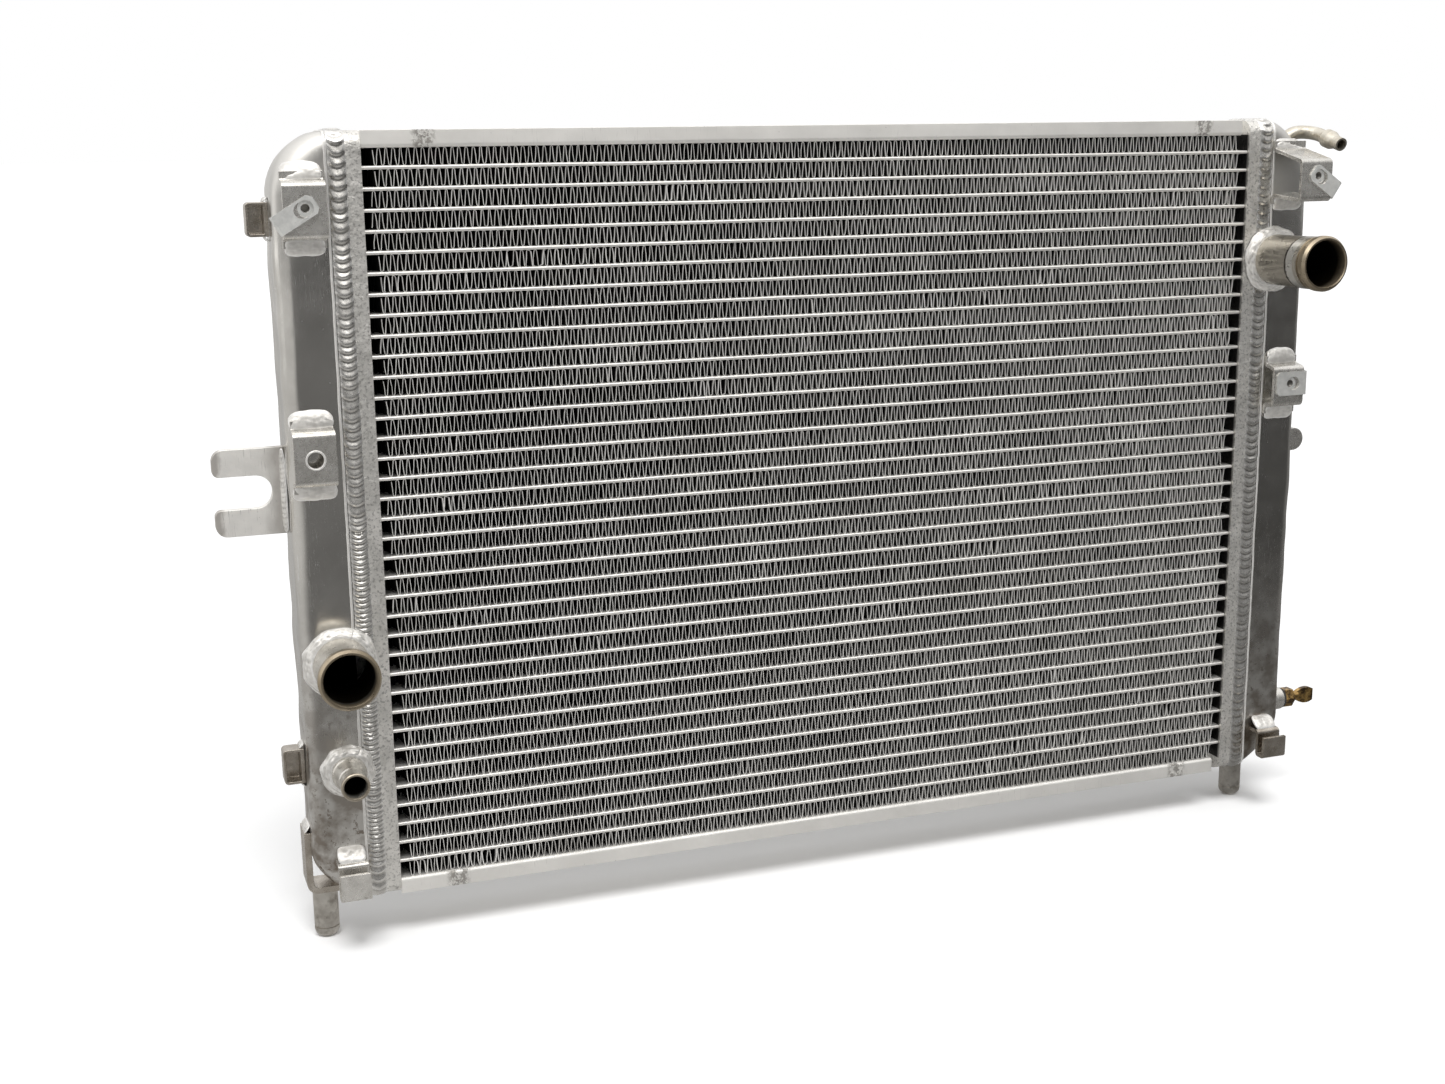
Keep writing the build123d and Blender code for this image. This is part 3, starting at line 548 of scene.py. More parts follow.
def rubber_material():
    """Matt black rubber."""
    shader = Shader("seal_rubber", metallic=0.0, specular=0.35)
    mottle = shader.noise(600.0)
    colour = shader.mix(mottle, (0.02, 0.02, 0.02), (0.05, 0.048, 0.045))
    return shader.use(colour, shader.ranged(mottle, 0.3, 0.7, 0.6, 0.8), shader.bump(mottle, 0.05 * MM))


TANK, HEADER, WELD, TUBE, FIN = (
    tank_material(), header_material(), weld_material(), tube_material(), fin_material()
)
PLATE, BRACKET, ZINC, BRASS, RUBBER = (
    plate_material(), bracket_material(), zinc_material(), brass_material(), rubber_material()
)
GRIMY = bracket_material("grimy_aluminium", (0.66, 0.62, 0.57), (0.40, 0.36, 0.31), 1.0)


def sanded_material():
    """Plate scuffed dull by handling, worn at the fork's tips and stained at its root."""
    shader, colour, roughness, normal = metal(
        "sanded_aluminium", (0.97, 0.965, 0.95), (0.86, 0.855, 0.84), (0.5, 0.66), 60.0, (700, 700, 90), 0.05,
        0.05, 1300.0, 0.75)
    colour, roughness = scratches(shader, colour, roughness, 0.8, (0.42, 0.41, 0.39))
    low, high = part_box("fork_bracket")
    ragged = shader.plus(shader.axis("X"), shader.ranged(shader.noise(70.0), 0.0, 1.0, -5 * MM, 5 * MM))
    worn = shader.ranged(ragged, low.x + 3 * MM, low.x + 6 * MM, 0.65, 0.0)
    dirty = shader.ranged(ragged, high.x - 12 * MM, high.x - 5 * MM, 0.0, 0.55)
    colour = shader.mix(shader.math("MAXIMUM", worn, dirty), colour, (0.34, 0.31, 0.28))
    return shader.use(colour, roughness, normal)


def thread_material():
    """Oiled screw thread, dark all over, partly its own tone and partly painted shade inside the collar."""
    # painted shade: the thread's dark tone also stands in for the shade inside the collar
    shader, *finish = metal(
        "clip_thread", (0.34, 0.335, 0.32), (0.12, 0.115, 0.11), (0.3, 0.5), 400.0, grain=0.02)
    return shader.use(*finish)


def pin_material():
    """Turned pins with a dull, slightly brown skin."""
    return stained((90.0, 0.52, 0.7, 0.6, 5.0, 0.7), (0.16, 0.13, 0.10), "pin_aluminium", (0.74, 0.72, 0.68),
                   (0.50, 0.475, 0.44), (0.34, 0.5), 120.0, (40, 40, 5200), 0.012, 0.03)


SANDED, THREAD, PIN = sanded_material(), thread_material(), pin_material()
SATIN_WELD = weld_material("satin_weld", (0.84, 0.83, 0.81), (0.62, 0.61, 0.59), (0.34, 0.5), 0.62)


# ---------------------------------------------------------------- core
def tube_piece():
    """The flat tubes, each drawn with its rounded noses and slightly out of true along its length."""
    steps, nose = 120, 6
    half_depth = (TUBE_BACK - TUBE_FRONT) / 2 - TUBE_THICK / 2
    angles = np.linspace(-math.pi / 2, math.pi / 2, nose + 1)
    back = [(half_depth + TUBE_THICK / 2 * math.cos(a), TUBE_THICK / 2 * math.sin(a)) for a in angles]
    section = np.array(back + [(-y, -z) for y, z in back])
    section[:, 0] += (TUBE_FRONT + TUBE_BACK) / 2
    x = np.linspace(-TUBE_HALF_LENGTH, TUBE_HALF_LENGTH, steps)
    points, quads = [], []
    for index in range(TUBE_COUNT):
        level = (index - (TUBE_COUNT - 1) / 2) * TUBE_PITCH
        wave = smooth_noise(steps, 0.11, 0.16 * MM, 31 + index)
        swell = 1.08 + smooth_noise(steps, 0.7, 0.08, 131 + index)
        ring = np.zeros((steps, len(section), 3))
        ring[:, :, 0] = x[:, None]
        ring[:, :, 1] = section[None, :, 0]
        ring[:, :, 2] = level + wave[:, None] + section[None, :, 1] * swell[:, None]
        quads.append(grid_quads(steps, len(section), closed_v=True, start=len(points) * steps * len(section)))
        points.append(ring)
    add_piece("satin_cooling_tubes", points, np.concatenate(quads), TUBE, ("cooling_tubes",),
              sharp=50)


def crushed(x, level):
    """How crushed the fins are at a place, from 0 to 1."""
    worst = 0.0
    for middle_x, middle_z, half_x, half_z in CRUSHED:
        distance = math.hypot((x - middle_x) / half_x, (level - middle_z) / half_z)
        worst = max(worst, 1.0 - distance)
    return worst


def fin_row(level, seed):
    """Points of one corrugated foil: upright legs joined by round bends."""
    chance = np.random.default_rng(seed)
    left = FIN_LEFT + chance.uniform(-1.0, 0.5) * MM
    right = FIN_RIGHT + chance.uniform(-0.8, 0.8) * MM
    count = 2 * int((right - left) / FIN_WAVE)
    leg = (right - left) / count
    half = (TUBE_PITCH - TUBE_THICK) / 2 - FIN_FOIL / 2

    # where each leg stands, how it bows and leans, and how it is hurt
    drift = np.cumsum(chance.normal(0, 0.06, count))
    drift -= np.linspace(0, drift[-1], count)
    x = left + np.arange(count) * leg + (np.clip(drift, -1.5, 1.5) + chance.normal(0, 0.08, count)) * MM
    x = np.sort(x)
    bow = chance.normal(0, 0.13, count) * MM
    harm = np.array([crushed(v, level) for v in x]) * (0.5 + 0.5 * smooth_noise(count, 0.13, 1.6, seed + 900))
    harm = np.clip(harm, 0, 1)
    lean = smooth_noise(count, 0.09, 0.6, seed) + chance.normal(0, 0.1, count) * (1 + 3 * harm)
    hit = (smooth_noise(count, 0.021, 1.0, seed + 400) > 0.36) * chance.random(count) > 0.6
    lean = (lean + hit * chance.normal(0, 0.45, count)) * MM
    burr = 1 + chance.random(count) * 0.25 + 2.4 * harm * chance.random(count) ** 2 + hit * 0.8
    left_end = x < left + chance.uniform(3.5, 6.5) * MM
    right_end = x > right - chance.uniform(2.0, 4.5) * MM
    sunk = np.where(left_end | right_end, 14 * MM, 0.0) + chance.normal(0, 0.07, count) * MM

    # the foil's path across its row
    way = np.where(np.arange(count) % 2 == 0, 1.0, -1.0)
    following = np.append(x[1:], x[-1] + leg)
    middle, reach = (x + following) / 2, (following - x) / 2
    straight = half - FIN_BEND
    pinch = np.minimum(FIN_PINCH * (1 + smooth_noise(count, 0.05, 0.3, seed + 700)), 0.42 * (following - x))
    path_x = [x - np.append(pinch[:1], pinch[:-1]), x + bow, x + pinch]
    path_z = [-way * straight, 0 * way, way * straight]
    for angle in (45, 90, 135):
        a = math.radians(angle)
        path_x.append(middle - (reach - pinch) * math.cos(a))
        path_z.append(way * (straight + FIN_BEND * math.sin(a)))
    path_x = np.stack(path_x, axis=1).ravel()[:-3]
    path_z = np.stack(path_z, axis=1).ravel()[:-3]
    skew, thick, sunk = (np.repeat(values, 6)[:-3] for values in (lean, burr, sunk))
    run_x, run_z = np.gradient(path_x), np.gradient(path_z)
    run = np.hypot(run_x, run_z) + 1e-12
    side_x, side_z = -run_z / run * FIN_FOIL / 2, run_x / run * FIN_FOIL / 2

    # the foil's section, front to back: depth, then the shares of the lean, the burr and the bow
    front = FIN_FRONT + chance.normal(0, 0.12) * MM
    stations = [(0.0, 1.0, 1.0, 0), (0.7 * MM, 0.8, 0.0, 0), (4 * MM, 0.2, 0.0, 0),
                ((FIN_BACK - front) / 2, 0.0, 0.0, 1), (FIN_BACK - front, 0.0, 0.0, 0)]
    ring = [(*station, 1) for station in stations] + [(*station, -1) for station in reversed(stations)]
    points = np.zeros((len(path_x), len(ring), 3))
    for i, (deep, share, edge, bowed, side) in enumerate(ring):
        width = side * (1 + (thick - 1) * edge)
        back = (FIN_BACK - front - deep) / (FIN_BACK - front)
        points[:, i, 0] = path_x + skew * share - FIN_BOW * bowed + side_x * width
        points[:, i, 1] = front + deep + sunk * back
        points[:, i, 2] = level + np.clip(path_z + side_z * side, -half - FIN_FOIL / 2, half + FIN_FOIL / 2)
    return points


def fin_pieces():
    """All the foil strips, grouped in a few pieces."""
    rows = TUBE_COUNT + 1
    for first in range(0, rows, FIN_ROWS_PER_PIECE):
        points, quads, start = [], [], 0
        for index in range(first, min(first + FIN_ROWS_PER_PIECE, rows)):
            row = fin_row((index - TUBE_COUNT / 2) * TUBE_PITCH, 11 + index)
            count, width = row.shape[:2]
            quads.append(grid_quads(count, width, closed_v=True, start=start))
            caps = np.array([[k, k + 1, width - 2 - k, width - 1 - k] for k in range(width // 2 - 1)])
            quads += [start + caps, start + (count - 1) * width + caps]
            points.append(row.reshape(-1, 3))
            start += count * width
        name = f"foil_fins_{first // FIN_ROWS_PER_PIECE + 1}"
        add_piece(name, np.concatenate(points), np.concatenate(quads), FIN, ("fin_strips",), sharp=50)


# ---------------------------------------------------------------- tanks
def edge_radius(angle):
    """Radius of the tank's front edge round its corner: the pressing is fuller at the corner's middle."""
    return EDGE_RADIUS + CORNER_FULLNESS * math.sin(2 * angle) ** 1.5


def skin_depth(x, z):
    """Y of the tank's skin at a place on its front, from the rounding of its edges."""
    x, z = abs(x), abs(z)
    corner_x, corner_z = TANK_OUTER - END_RADIUS, TANK_HALF_HEIGHT - END_RADIUS
    radius = EDGE_RADIUS
    if x > corner_x and z > corner_z:
        inside = END_RADIUS - math.hypot(x - corner_x, z - corner_z)
        radius = edge_radius(math.atan2(z - corner_z, x - corner_x))
    else:
        inside = min(TANK_OUTER - x, TANK_HALF_HEIGHT - z)
    if inside >= radius:
        return 0.0
    return radius - math.sqrt(max(0.0, radius**2 - (radius - inside) ** 2))


def tank_outline():
    """Places, outward directions and edge radii round the tank's front, from the seam's top to its foot."""
    corner_x, corner_z = TANK_OUTER - END_RADIUS, TANK_HALF_HEIGHT - END_RADIUS
    arc = [math.radians(90 - 90 * i / 24) for i in range(25)]
    route = [(SEAM, TANK_HALF_HEIGHT, 0, 1, EDGE_RADIUS)]
    route += [
        (corner_x + END_RADIUS * math.cos(a), corner_z + END_RADIUS * math.sin(a), math.cos(a), math.sin(a),
         edge_radius(a))
        for a in arc
    ]
    side = 130
    route += [(TANK_OUTER, corner_z * (1 - 2 * i / side), 1, 0, EDGE_RADIUS) for i in range(1, side)]
    route += [(x, -z, nx, -nz, radius) for x, z, nx, nz, radius in reversed(route[:26])]
    return np.array(route)


def dents(x, y, z, nx, seed):
    """How far the hammered skin stands out (in mm) at a place."""
    place = Vector((x, y, z)) / MM
    long_wave = noise.noise(place / 60 + Vector((seed, 0, 0)))
    short_wave = noise.noise(place / 21 + Vector((0, seed, 0)))
    fine = noise.noise(place / 9 + Vector((0, 0, seed)))
    return 0.12 * long_wave + nx * (0.9 * long_wave + 0.8 * short_wave + 0.12 * fine)


def tank_piece(side, seed, holes):
    """One end tank: a pressed shell with rounded ends and edges, lightly dented on its outer side."""
    outline = tank_outline()
    flat = [0.0, 0.06, 0.14, 0.24, 0.36, 0.5, 0.64, 0.78, 0.9]
    turn = [math.radians(a) for a in range(0, 91, 15)]
    width = [i / 8 for i in range(1, 8)]
    seam_z = np.linspace(1, -1, len(outline)) * (TANK_HALF_HEIGHT - EDGE_RADIUS)
    points = []
    for (x, z, nx, nz, radius), z_seam in zip(outline, seam_z):
        inner_x, inner_z = x - radius * nx, z - radius * nz
        half = [(SEAM + (inner_x - SEAM) * f, 0.0, z_seam + (inner_z - z_seam) * f, 0.0) for f in flat]
        half += [
            (inner_x + radius * math.sin(a) * nx, radius * (1 - math.cos(a)),
             inner_z + radius * math.sin(a) * nz, math.sin(a))
            for a in turn
        ]
        middle = [(x, radius + (TANK_DEPTH - 2 * radius) * w, z, 1.0) for w in width]
        ring = half + middle + [(a, TANK_DEPTH - b, c, d) for a, b, c, d in reversed(half)]
        for px, py, pz, outward in ring:
            near_seam = min(1.0, max(0.0, (px - SEAM - 5 * MM) / (8 * MM)))
            push = dents(px * side, py, pz, outward * near_seam, seed) * MM * near_seam
            face = (1 - outward) * (1 if py > TANK_DEPTH / 2 else -1)
            points.append(((px + nx * outward * push) * side, py + face * push, pz + nz * outward * push))
    quads = grid_quads(len(outline), len(ring))
    if side > 0:
        quads = quads[:, ::-1]
    name = "right_end_tank" if side > 0 else "left_end_tank"
    piece = add_piece(name + "_shell", points, quads, TANK, (name,), sharp=60)
    mend(piece.data, 5e-6)
    shell = piece.modifiers.new("wall", "SOLIDIFY")
    shell.thickness = TANK_WALL
    shell.offset = -1
    cut(piece, holes)
    piece.data.set_sharp_from_angle(angle=math.radians(50))


# ---------------------------------------------------------------- welds
def bead(name, rail_a, rail_b, outward, crown, pitch, ripple, slot="weld_metal", closed=False, lead=2.5,
         seed=1, replaces=(), material=None, across=12, lumps=0.1, fine=0.0, plateau=None):
    """A weld bead between two rails: a rounded back with overlapping ripples, closed underneath."""
    chance = random.Random(seed)
    a, b = np.asarray(rail_a, float), np.asarray(rail_b, float)
    count = len(a)
    middle = (a + b) / 2
    if closed:
        tangent = np.roll(middle, -1, axis=0) - np.roll(middle, 1, axis=0)
    else:
        tangent = np.gradient(middle, axis=0)
    normal = np.cross(tangent, b - a)
    normal /= np.linalg.norm(normal, axis=1)[:, None] + 1e-12
    outward = np.broadcast_to(np.asarray(outward, float), normal.shape)
    normal *= np.sign((normal * outward).sum(axis=1))[:, None]
    along = np.append(0, np.cumsum(np.linalg.norm(np.diff(middle, axis=0), axis=1)))
    knots = [-2 * pitch]
    while knots[-1] < along[-1] + 4 * pitch:
        shorter = 0.58 if fine and knots[-1] > along[-1] - fine else 1.0
        knots.append(knots[-1] + pitch * shorter * chance.uniform(0.8, 1.25))
    envelope = np.ones(count)
    if not closed:
        share = np.abs(2 * along / along[-1] - 1)
        envelope = np.sqrt(np.maximum(0, 1 - share**7))
    rows = []
    for i in range(across + 1):
        v = i / across
        centred = 2 * v - 1
        phase = np.interp(along + lead * MM * (1 - centred**2), knots, np.arange(len(knots))) % 1.0
        fall = (1 - phase) ** 0.6 if plateau is None else np.clip((1 - phase) / (1 - plateau), 0, 1)
        lump = np.clip(phase / 0.26, 0, 1) * fall
        back = (4 * v * (1 - v)) ** 0.55
        wander = smooth_noise(count, 0.17, lumps, seed + 50 + 0.15 * i)
        height = crown * back * (1 - ripple * (1 - lump)) * (1 + wander) * envelope
        spread = centred * envelope * (1 + smooth_noise(count, 0.11, 0.07, seed + 90 + (i > across / 2)))
        rows.append(middle + (b - a) / 2 * spread[:, None] + normal * height[:, None])
    for v in (0.8, 0.2):
        rows.append(middle + (b - a) * ((v - 0.5) * envelope)[:, None] - normal * (0.35 * MM * envelope)[:, None])
    points = np.stack(rows, axis=1)
    quads = grid_quads(count, points.shape[1], closed_u=closed, closed_v=True)
    piece = add_piece(name, points, quads, material or WELD, replaces, sharp=70)
    mend(piece.data, 2e-6)
    return piece


def seam_loop(step):
    """Places and outward directions round the header's rim, in Y and Z, starting at the middle of the front."""
    half_y, half_z, r = TANK_DEPTH / 2, TANK_HALF_HEIGHT, EDGE_RADIUS
    runs = [
        (Vector((-half_y, 0)), Vector((-half_y, half_z - r)), None),
        (Vector((-half_y + r, half_z - r)), 180, 90),
        (Vector((-half_y + r, half_z)), Vector((half_y - r, half_z)), None),
        (Vector((half_y - r, half_z - r)), 90, 0),
        (Vector((half_y, half_z - r)), Vector((half_y, -half_z + r)), None),
        (Vector((half_y - r, -half_z + r)), 0, -90),
        (Vector((half_y - r, -half_z)), Vector((-half_y + r, -half_z)), None),
        (Vector((-half_y + r, -half_z + r)), -90, -180),
        (Vector((-half_y, -half_z + r)), Vector((-half_y, 0)), None),
    ]
    loop = []
    for first, second, third in runs:
        if third is None:
            steps = max(2, round((second - first).length / step))
            way = (second - first).normalized()
            loop += [(*first.lerp(second, i / steps), -way.y, way.x) for i in range(steps)]
        else:
            steps = max(4, round(r * math.pi / 2 / step))
            for i in range(steps):
                a = math.radians(second + (third - second) * i / steps)
                loop.append((first.x + r * math.cos(a), first.y + r * math.sin(a), math.cos(a), math.sin(a)))
    return np.array(loop)


def seam_weld(side):
    """The bead round the seam of one tank, and the raised edge of the tank's sheet beside it."""
    name = "right_tank_weld" if side > 0 else "left_tank_weld"
    low, high = core_box(name)
    near, far = (low.x, high.x) if side > 0 else (-high.x, -low.x)
    loop = seam_loop(0.62 * MM)
    normal = np.stack([0 * loop[:, 0], loop[:, 2], loop[:, 3]], axis=1)
    base = np.stack([0 * loop[:, 0], loop[:, 0] + TANK_DEPTH / 2, loop[:, 1]], axis=1)

    def rail(distance, sink):
        points = base - normal * sink
        points[:, 0] = side * distance
        return points

    sink, lumps = 0.1 * MM, 0.12
    crown = (high.z - TANK_HALF_HEIGHT + sink) / (1 + lumps)
    ripples = bead(name + "_ripples", rail(near, sink), rail(far, sink), normal, crown, SEAM_RIPPLE, 0.74,
                   closed=True, lead=2.8, seed=3 + side, replaces=(name,), across=14, lumps=lumps, plateau=0.38,
                   fine=(TANK_HALF_HEIGHT - 20 * MM) if side < 0 else 0.0)
    wobble = smooth_noise(len(loop), 0.045, 0.35 * MM, 60 + side)
    inner, outer = rail(far + 0.3 * MM, 0.15 * MM), rail(far + 2.1 * MM, 0.25 * MM)
    inner[:, 0] += side * wobble
    outer[:, 0] += side * wobble
    edge = bead(name.replace("weld", "sheet_edge"), inner, outer, normal, 0.6 * MM, 9 * MM, 0.1, "tank_aluminium",
                closed=True, lead=0.0, seed=13 + side, material=SATIN_WELD, across=6, lumps=0.2)
    necks = ["inlet_neck"] if side > 0 else ["outlet_neck", "bypass_neck"]
    for piece in (ripples, edge):
        cut(piece, [hole_along_y(node, -0.5 * MM) for node in necks])


def neck_weld(neck, spread, seed):
    """A ring of weld round a neck's foot, following the tank's skin."""
    node = neck + "_weld"
    low, high = core_box(neck)
    centre = Vector(((low.x + high.x) / 2, 0, (low.z + high.z) / 2))
    ring_low, ring_high = core_box(node)
    outer = (ring_high.x - ring_low.x) / 2
    inner = outer - spread
    count = round(2 * math.pi * outer / (0.6 * MM))
    foot, top, outward = [], [], []
    for i in range(count):
        a = 2 * math.pi * i / count
        direction = Vector((math.cos(a), 0, math.sin(a)))
        wide = outer + (1.2 + 1.6 * noise.noise(Vector((math.cos(a) * 2.2, math.sin(a) * 2.2, seed)))) * MM
        far, near = centre + direction * wide, centre + direction * (inner - 0.3 * MM)
        far.x = math.copysign(min(abs(far.x), TANK_OUTER - 1.2 * MM), far.x)
        on_seam = 0.9 * MM if abs(far.x) < SEAM + 6 * MM else 0.0
        far.y = skin_depth(far.x, far.z) + 0.2 * MM - on_seam
        near.y = min(skin_depth(near.x, near.z), 1.5 * MM) - NECK_WELD_RISE
        foot.append(far)
        top.append(near)
        outward.append(direction - Vector((0, 1, 0)))
    bead(node + "_ripples", foot, top, outward, 1.7 * MM, 7.0 * MM, 0.24, closed=True, lead=2.2, seed=seed,
         replaces=(node,), material=SATIN_WELD, lumps=0.45)


def straight_rails(axis, ends, first, second, belly=(0, 0, 0)):
    """Two rails along an axis between its ends, each through a point; belly moves the second's middle out."""
    corners = [Vector(point) for point in (first, first, second, second)]
    for corner, end in zip(corners, (*ends, *ends)):
        corner[axis] = end
    start_a, end_a, start_b, end_b = corners
    count = max(12, round((end_a - start_a).length / (0.5 * MM)))
    shares = [i / (count - 1) for i in range(count)]
    rail_a = [start_a.lerp(end_a, t) for t in shares]
    rail_b = [start_b.lerp(end_b, t) + Vector(belly) * math.sqrt(max(0.0, 1 - (2 * t - 1) ** 2)) for t in shares]
    return rail_a, rail_b


def lay_on_skin(rail, sink):
    """Put a rail's points just under the tank's skin."""
    for point in rail:
        point.y = skin_depth(point.x, point.z) - sink


def bracket_welds():
    """The beads along the feet of the four hat brackets."""
    names = ["upper_left_bracket", "middle_left_bracket", "middle_right_bracket", "upper_right_bracket"]
    for index, name in enumerate(names):
        low, high = core_box(name)
        proud = 0.6 * MM if index == 1 else -0.6 * MM
        for side, edge in ((1, high.z), (-1, low.z)):
            arched = side > 0 and index < 3
            reach = (2.2 if arched else 1.6 if side > 0 else 4.4) * MM
            rails = straight_rails(0, (low.x - proud, high.x + proud), (0, -3.0 * MM, edge - side * 5.6 * MM),
                                   (0, 0, edge + side * reach), (0, 0, side * 3.4 * MM * arched))
            lay_on_skin(rails[1], 0.05 * MM)
            bead(f"{name}_weld_{'top' if side > 0 else 'foot'}", *rails, (0, -1, 0), 1.7 * MM, 4.6 * MM, 0.10,
                 seed=20 + 2 * index + side, replaces=("bracket_welds",), material=SATIN_WELD, lead=1.4, lumps=0.22)


def hook_welds():
    """The heavy bead on top of each lower hook."""
    for index, name in enumerate(("left_lower_hook", "right_lower_hook")):
        low, high = core_box(name)
        rails = straight_rails(0, (low.x + 0.5 * MM, high.x - 0.5 * MM), (0, -9.5 * MM, high.z - 0.4 * MM),
                               (0, 0, high.z + 7.5 * MM))
        lay_on_skin(rails[1], 0.1 * MM)
        bead(f"{name}_weld", *rails, (0, -1, 1), 1.9 * MM, 5.0 * MM, 0.16, seed=41 + index,
             replaces=("hook_welds",), material=SATIN_WELD, lead=1.8, lumps=0.3)


def side_welds():
    """Beads at the roots of the fork, tabs, lug and strap on the tanks' outer sides."""
    wall = TANK_OUTER + 0.3 * MM
    foot = wall - 0.4 * MM
    runs = []

    def run(name, outward, *places):
        runs.append((name, straight_rails(*places), outward))

    low, high = core_box("fork_bracket")
    for end, y, side in (("front", low.y, -1), ("back", high.y, 1)):
        run(f"fork_weld_{end}", (-1, side, 0), 2, (low.z + 0.8 * MM, high.z - 0.8 * MM),
            (-wall - 2.8 * MM, y + side * 0.1 * MM, 0), (-foot, y + side * 3.6 * MM, 0))
    for tab in ("upper_left_tab", "lower_left_tab"):
        low, high = core_box(tab)
        for end, z, side in (("top", high.z, 1), ("foot", low.z, -1)):
            run(f"{tab}_weld_{end}", (-1, 0, side), 1, (low.y + 0.4 * MM, high.y - 0.4 * MM),
                (-wall - 2.4 * MM, 0, z), (-foot, 0, z + side * 2.8 * MM))
    low, high = core_box("right_side_lug")
    for end, z, side in (("top", high.z, 1), ("foot", low.z, -1)):
        run(f"lug_weld_{end}", (1, 0, side), 1, (low.y, high.y), (wall + 2.2 * MM, 0, z),
            (foot, 0, z + side * 2.4 * MM))
    low, high = core_box("left_pin_strap")
    run("strap_weld", (-1, 0, 1), 1, (low.y + 0.6 * MM, high.y - 0.6 * MM),
        (-wall - 3.4 * MM, 0, high.z - 0.6 * MM), (-foot, 0, high.z + 4.2 * MM))
    for index, (name, rails, outward) in enumerate(runs):
        bead(name, *rails, outward, 1.1 * MM, 3.0 * MM, 0.4, seed=70 + index, replaces=("side_welds",),
             material=SATIN_WELD, lead=1.2, lumps=0.4)


# ---------------------------------------------------------------- fittings
def coil(name, centre, body):
    """The screw thread in a clip's collar: a ridge wound along Y, its crest inward of its root."""
    radius, depth, pitch, turns, per_turn = 2.52 * MM, -0.42 * MM, 0.9 * MM, 6.2, 40
    turn = Vector((0, 1, 0)).to_track_quat("Z", "Y")
    count = int(turns * per_turn) + 1
    section = [(0.0, -0.48), (depth / pitch, -0.08), (depth / pitch, 0.08), (0.0, 0.48)]
    points = []
    for i in range(count):
        a = 2 * math.pi * i / per_turn
        for rise, along in section:
            r = radius + rise * pitch
            offset = Vector((r * math.cos(a), r * math.sin(a), (i / per_turn + along - turns / 2) * pitch))
            points.append(Vector(centre) + turn @ offset)
    quads = grid_quads(count, len(section), closed_v=True)
    ends = np.array([[3, 2, 1, 0]]), np.array([[0, 1, 2, 3]]) + (count - 1) * 4
    add_piece(name, points, np.concatenate([quads, *ends]), THREAD, body=body, sharp=30)


def clip_nuts():
    """The folded clips with a thread in their collars."""
    for where in ("upper_left", "middle_right", "upper_right"):
        name, body = where + "_clip_nut", where + "_clip"
        worn_copy(name, ZINC, 0.16 * MM, body)
        joint = next(j for j in frame["joints"] if j["child"] == body)
        centre = Vector(joint["pos_m"]) - CORE
        centre.y = (core_box(where + "_bracket")[0].y + 0.3 * MM + core_box(name)[1].y) / 2
        coil(name + "_thread", centre, body)


def hole_burr():
    """The bright raised edge round the open hole of the middle left bracket."""
    low, high = core_box("middle_left_bracket")
    centre = Vector(((low.x + high.x) / 2 + 0.1 * MM, low.y + 0.02 * MM, (low.z + high.z) / 2 - 0.6 * MM))
    around = [Vector((math.cos(a), 0, math.sin(a))) for a in np.linspace(0, 2 * math.pi, 97)[:-1]]
    inner, outer = ([centre + r * MM * way for way in around] for r in (4.7, 6.0))
    bead("middle_left_hole_burr", inner, outer, (0, -1, 0), 0.55 * MM, 7 * MM, 0.15, closed=True, seed=61,
         material=SATIN_WELD, across=6, lumps=0.3)


def carried_over():
    """Give the CAD nodes that stay their materials."""
    brown, pale, dark, tan = (0.40, 0.32, 0.21), (0.86, 0.85, 0.82), (0.06, 0.05, 0.045), (0.50, 0.46, 0.39)
    materials = {
        "left_header_plate": HEADER, "right_header_plate": HEADER,
        "outlet_neck": neck_material("outlet_neck_metal", "outlet_neck", 15.4 * MM, [
            (-1 * MM, 6 * MM, 0.85, brown), (6 * MM, 60 * MM, 0.35, tan)]),
        "inlet_neck": neck_material("inlet_neck_metal", "inlet_neck", 15.4 * MM, [
            (-1 * MM, 9 * MM, 0.85, brown), (9 * MM, 13 * MM, 0.5, tan), (13 * MM, 20 * MM, 0.8, pale),
            (20 * MM, 21.6 * MM, 0.95, dark), (21.6 * MM, 60 * MM, 0.75, tan)]),
        "bypass_neck": neck_material("bypass_neck_metal", "bypass_neck", 6.8 * MM, [
            (-1 * MM, 2 * MM, 0.6, brown)]),
        "overflow_tube": overflow_material(),
        "left_locating_pin": PIN, "right_locating_pin": PIN,
        "drain_washer": RUBBER, "drain_seal": RUBBER,
    }
    for name, material in materials.items():
        data = frame["nodes"][name].data
        data.materials.clear()
        data.materials.append(material)


def fittings():
    """Brackets, hooks, plates and the tap, with worn edges."""
    for name in ("top_side_plate", "bottom_side_plate"):
        worn_copy(name, PLATE, 0.3 * MM)
    for name in ("upper_left_bracket", "middle_left_bracket", "middle_right_bracket", "upper_right_bracket",
                 "right_side_lug", "left_lower_hook"):
        worn_copy(name, BRACKET, 0.4 * MM)
    worn_copy("fork_bracket", SANDED, 0.5 * MM)
    for name in ("left_pin_strap", "right_lower_hook", "upper_left_tab", "lower_left_tab"):
        worn_copy(name, GRIMY, 0.4 * MM)
    worn_copy("drain_bung", BRACKET, 0.3 * MM)
    worn_copy("drain_body", BRASS, 0.3 * MM)
    worn_copy("drain_stem", BRASS, 0.5 * MM, "drain_screw")


# ---------------------------------------------------------------- studio
def ground(name, reach, z, material):
    """A wide level square."""
    mesh = bpy.data.meshes.new(name)
    corners = [(-reach, -reach, z), (reach, -reach, z), (reach, reach, z), (-reach, reach, z)]
    mesh.from_pydata(corners, [], [(0, 1, 2, 3)])
    mesh.materials.append(material)
    return put(name, mesh)


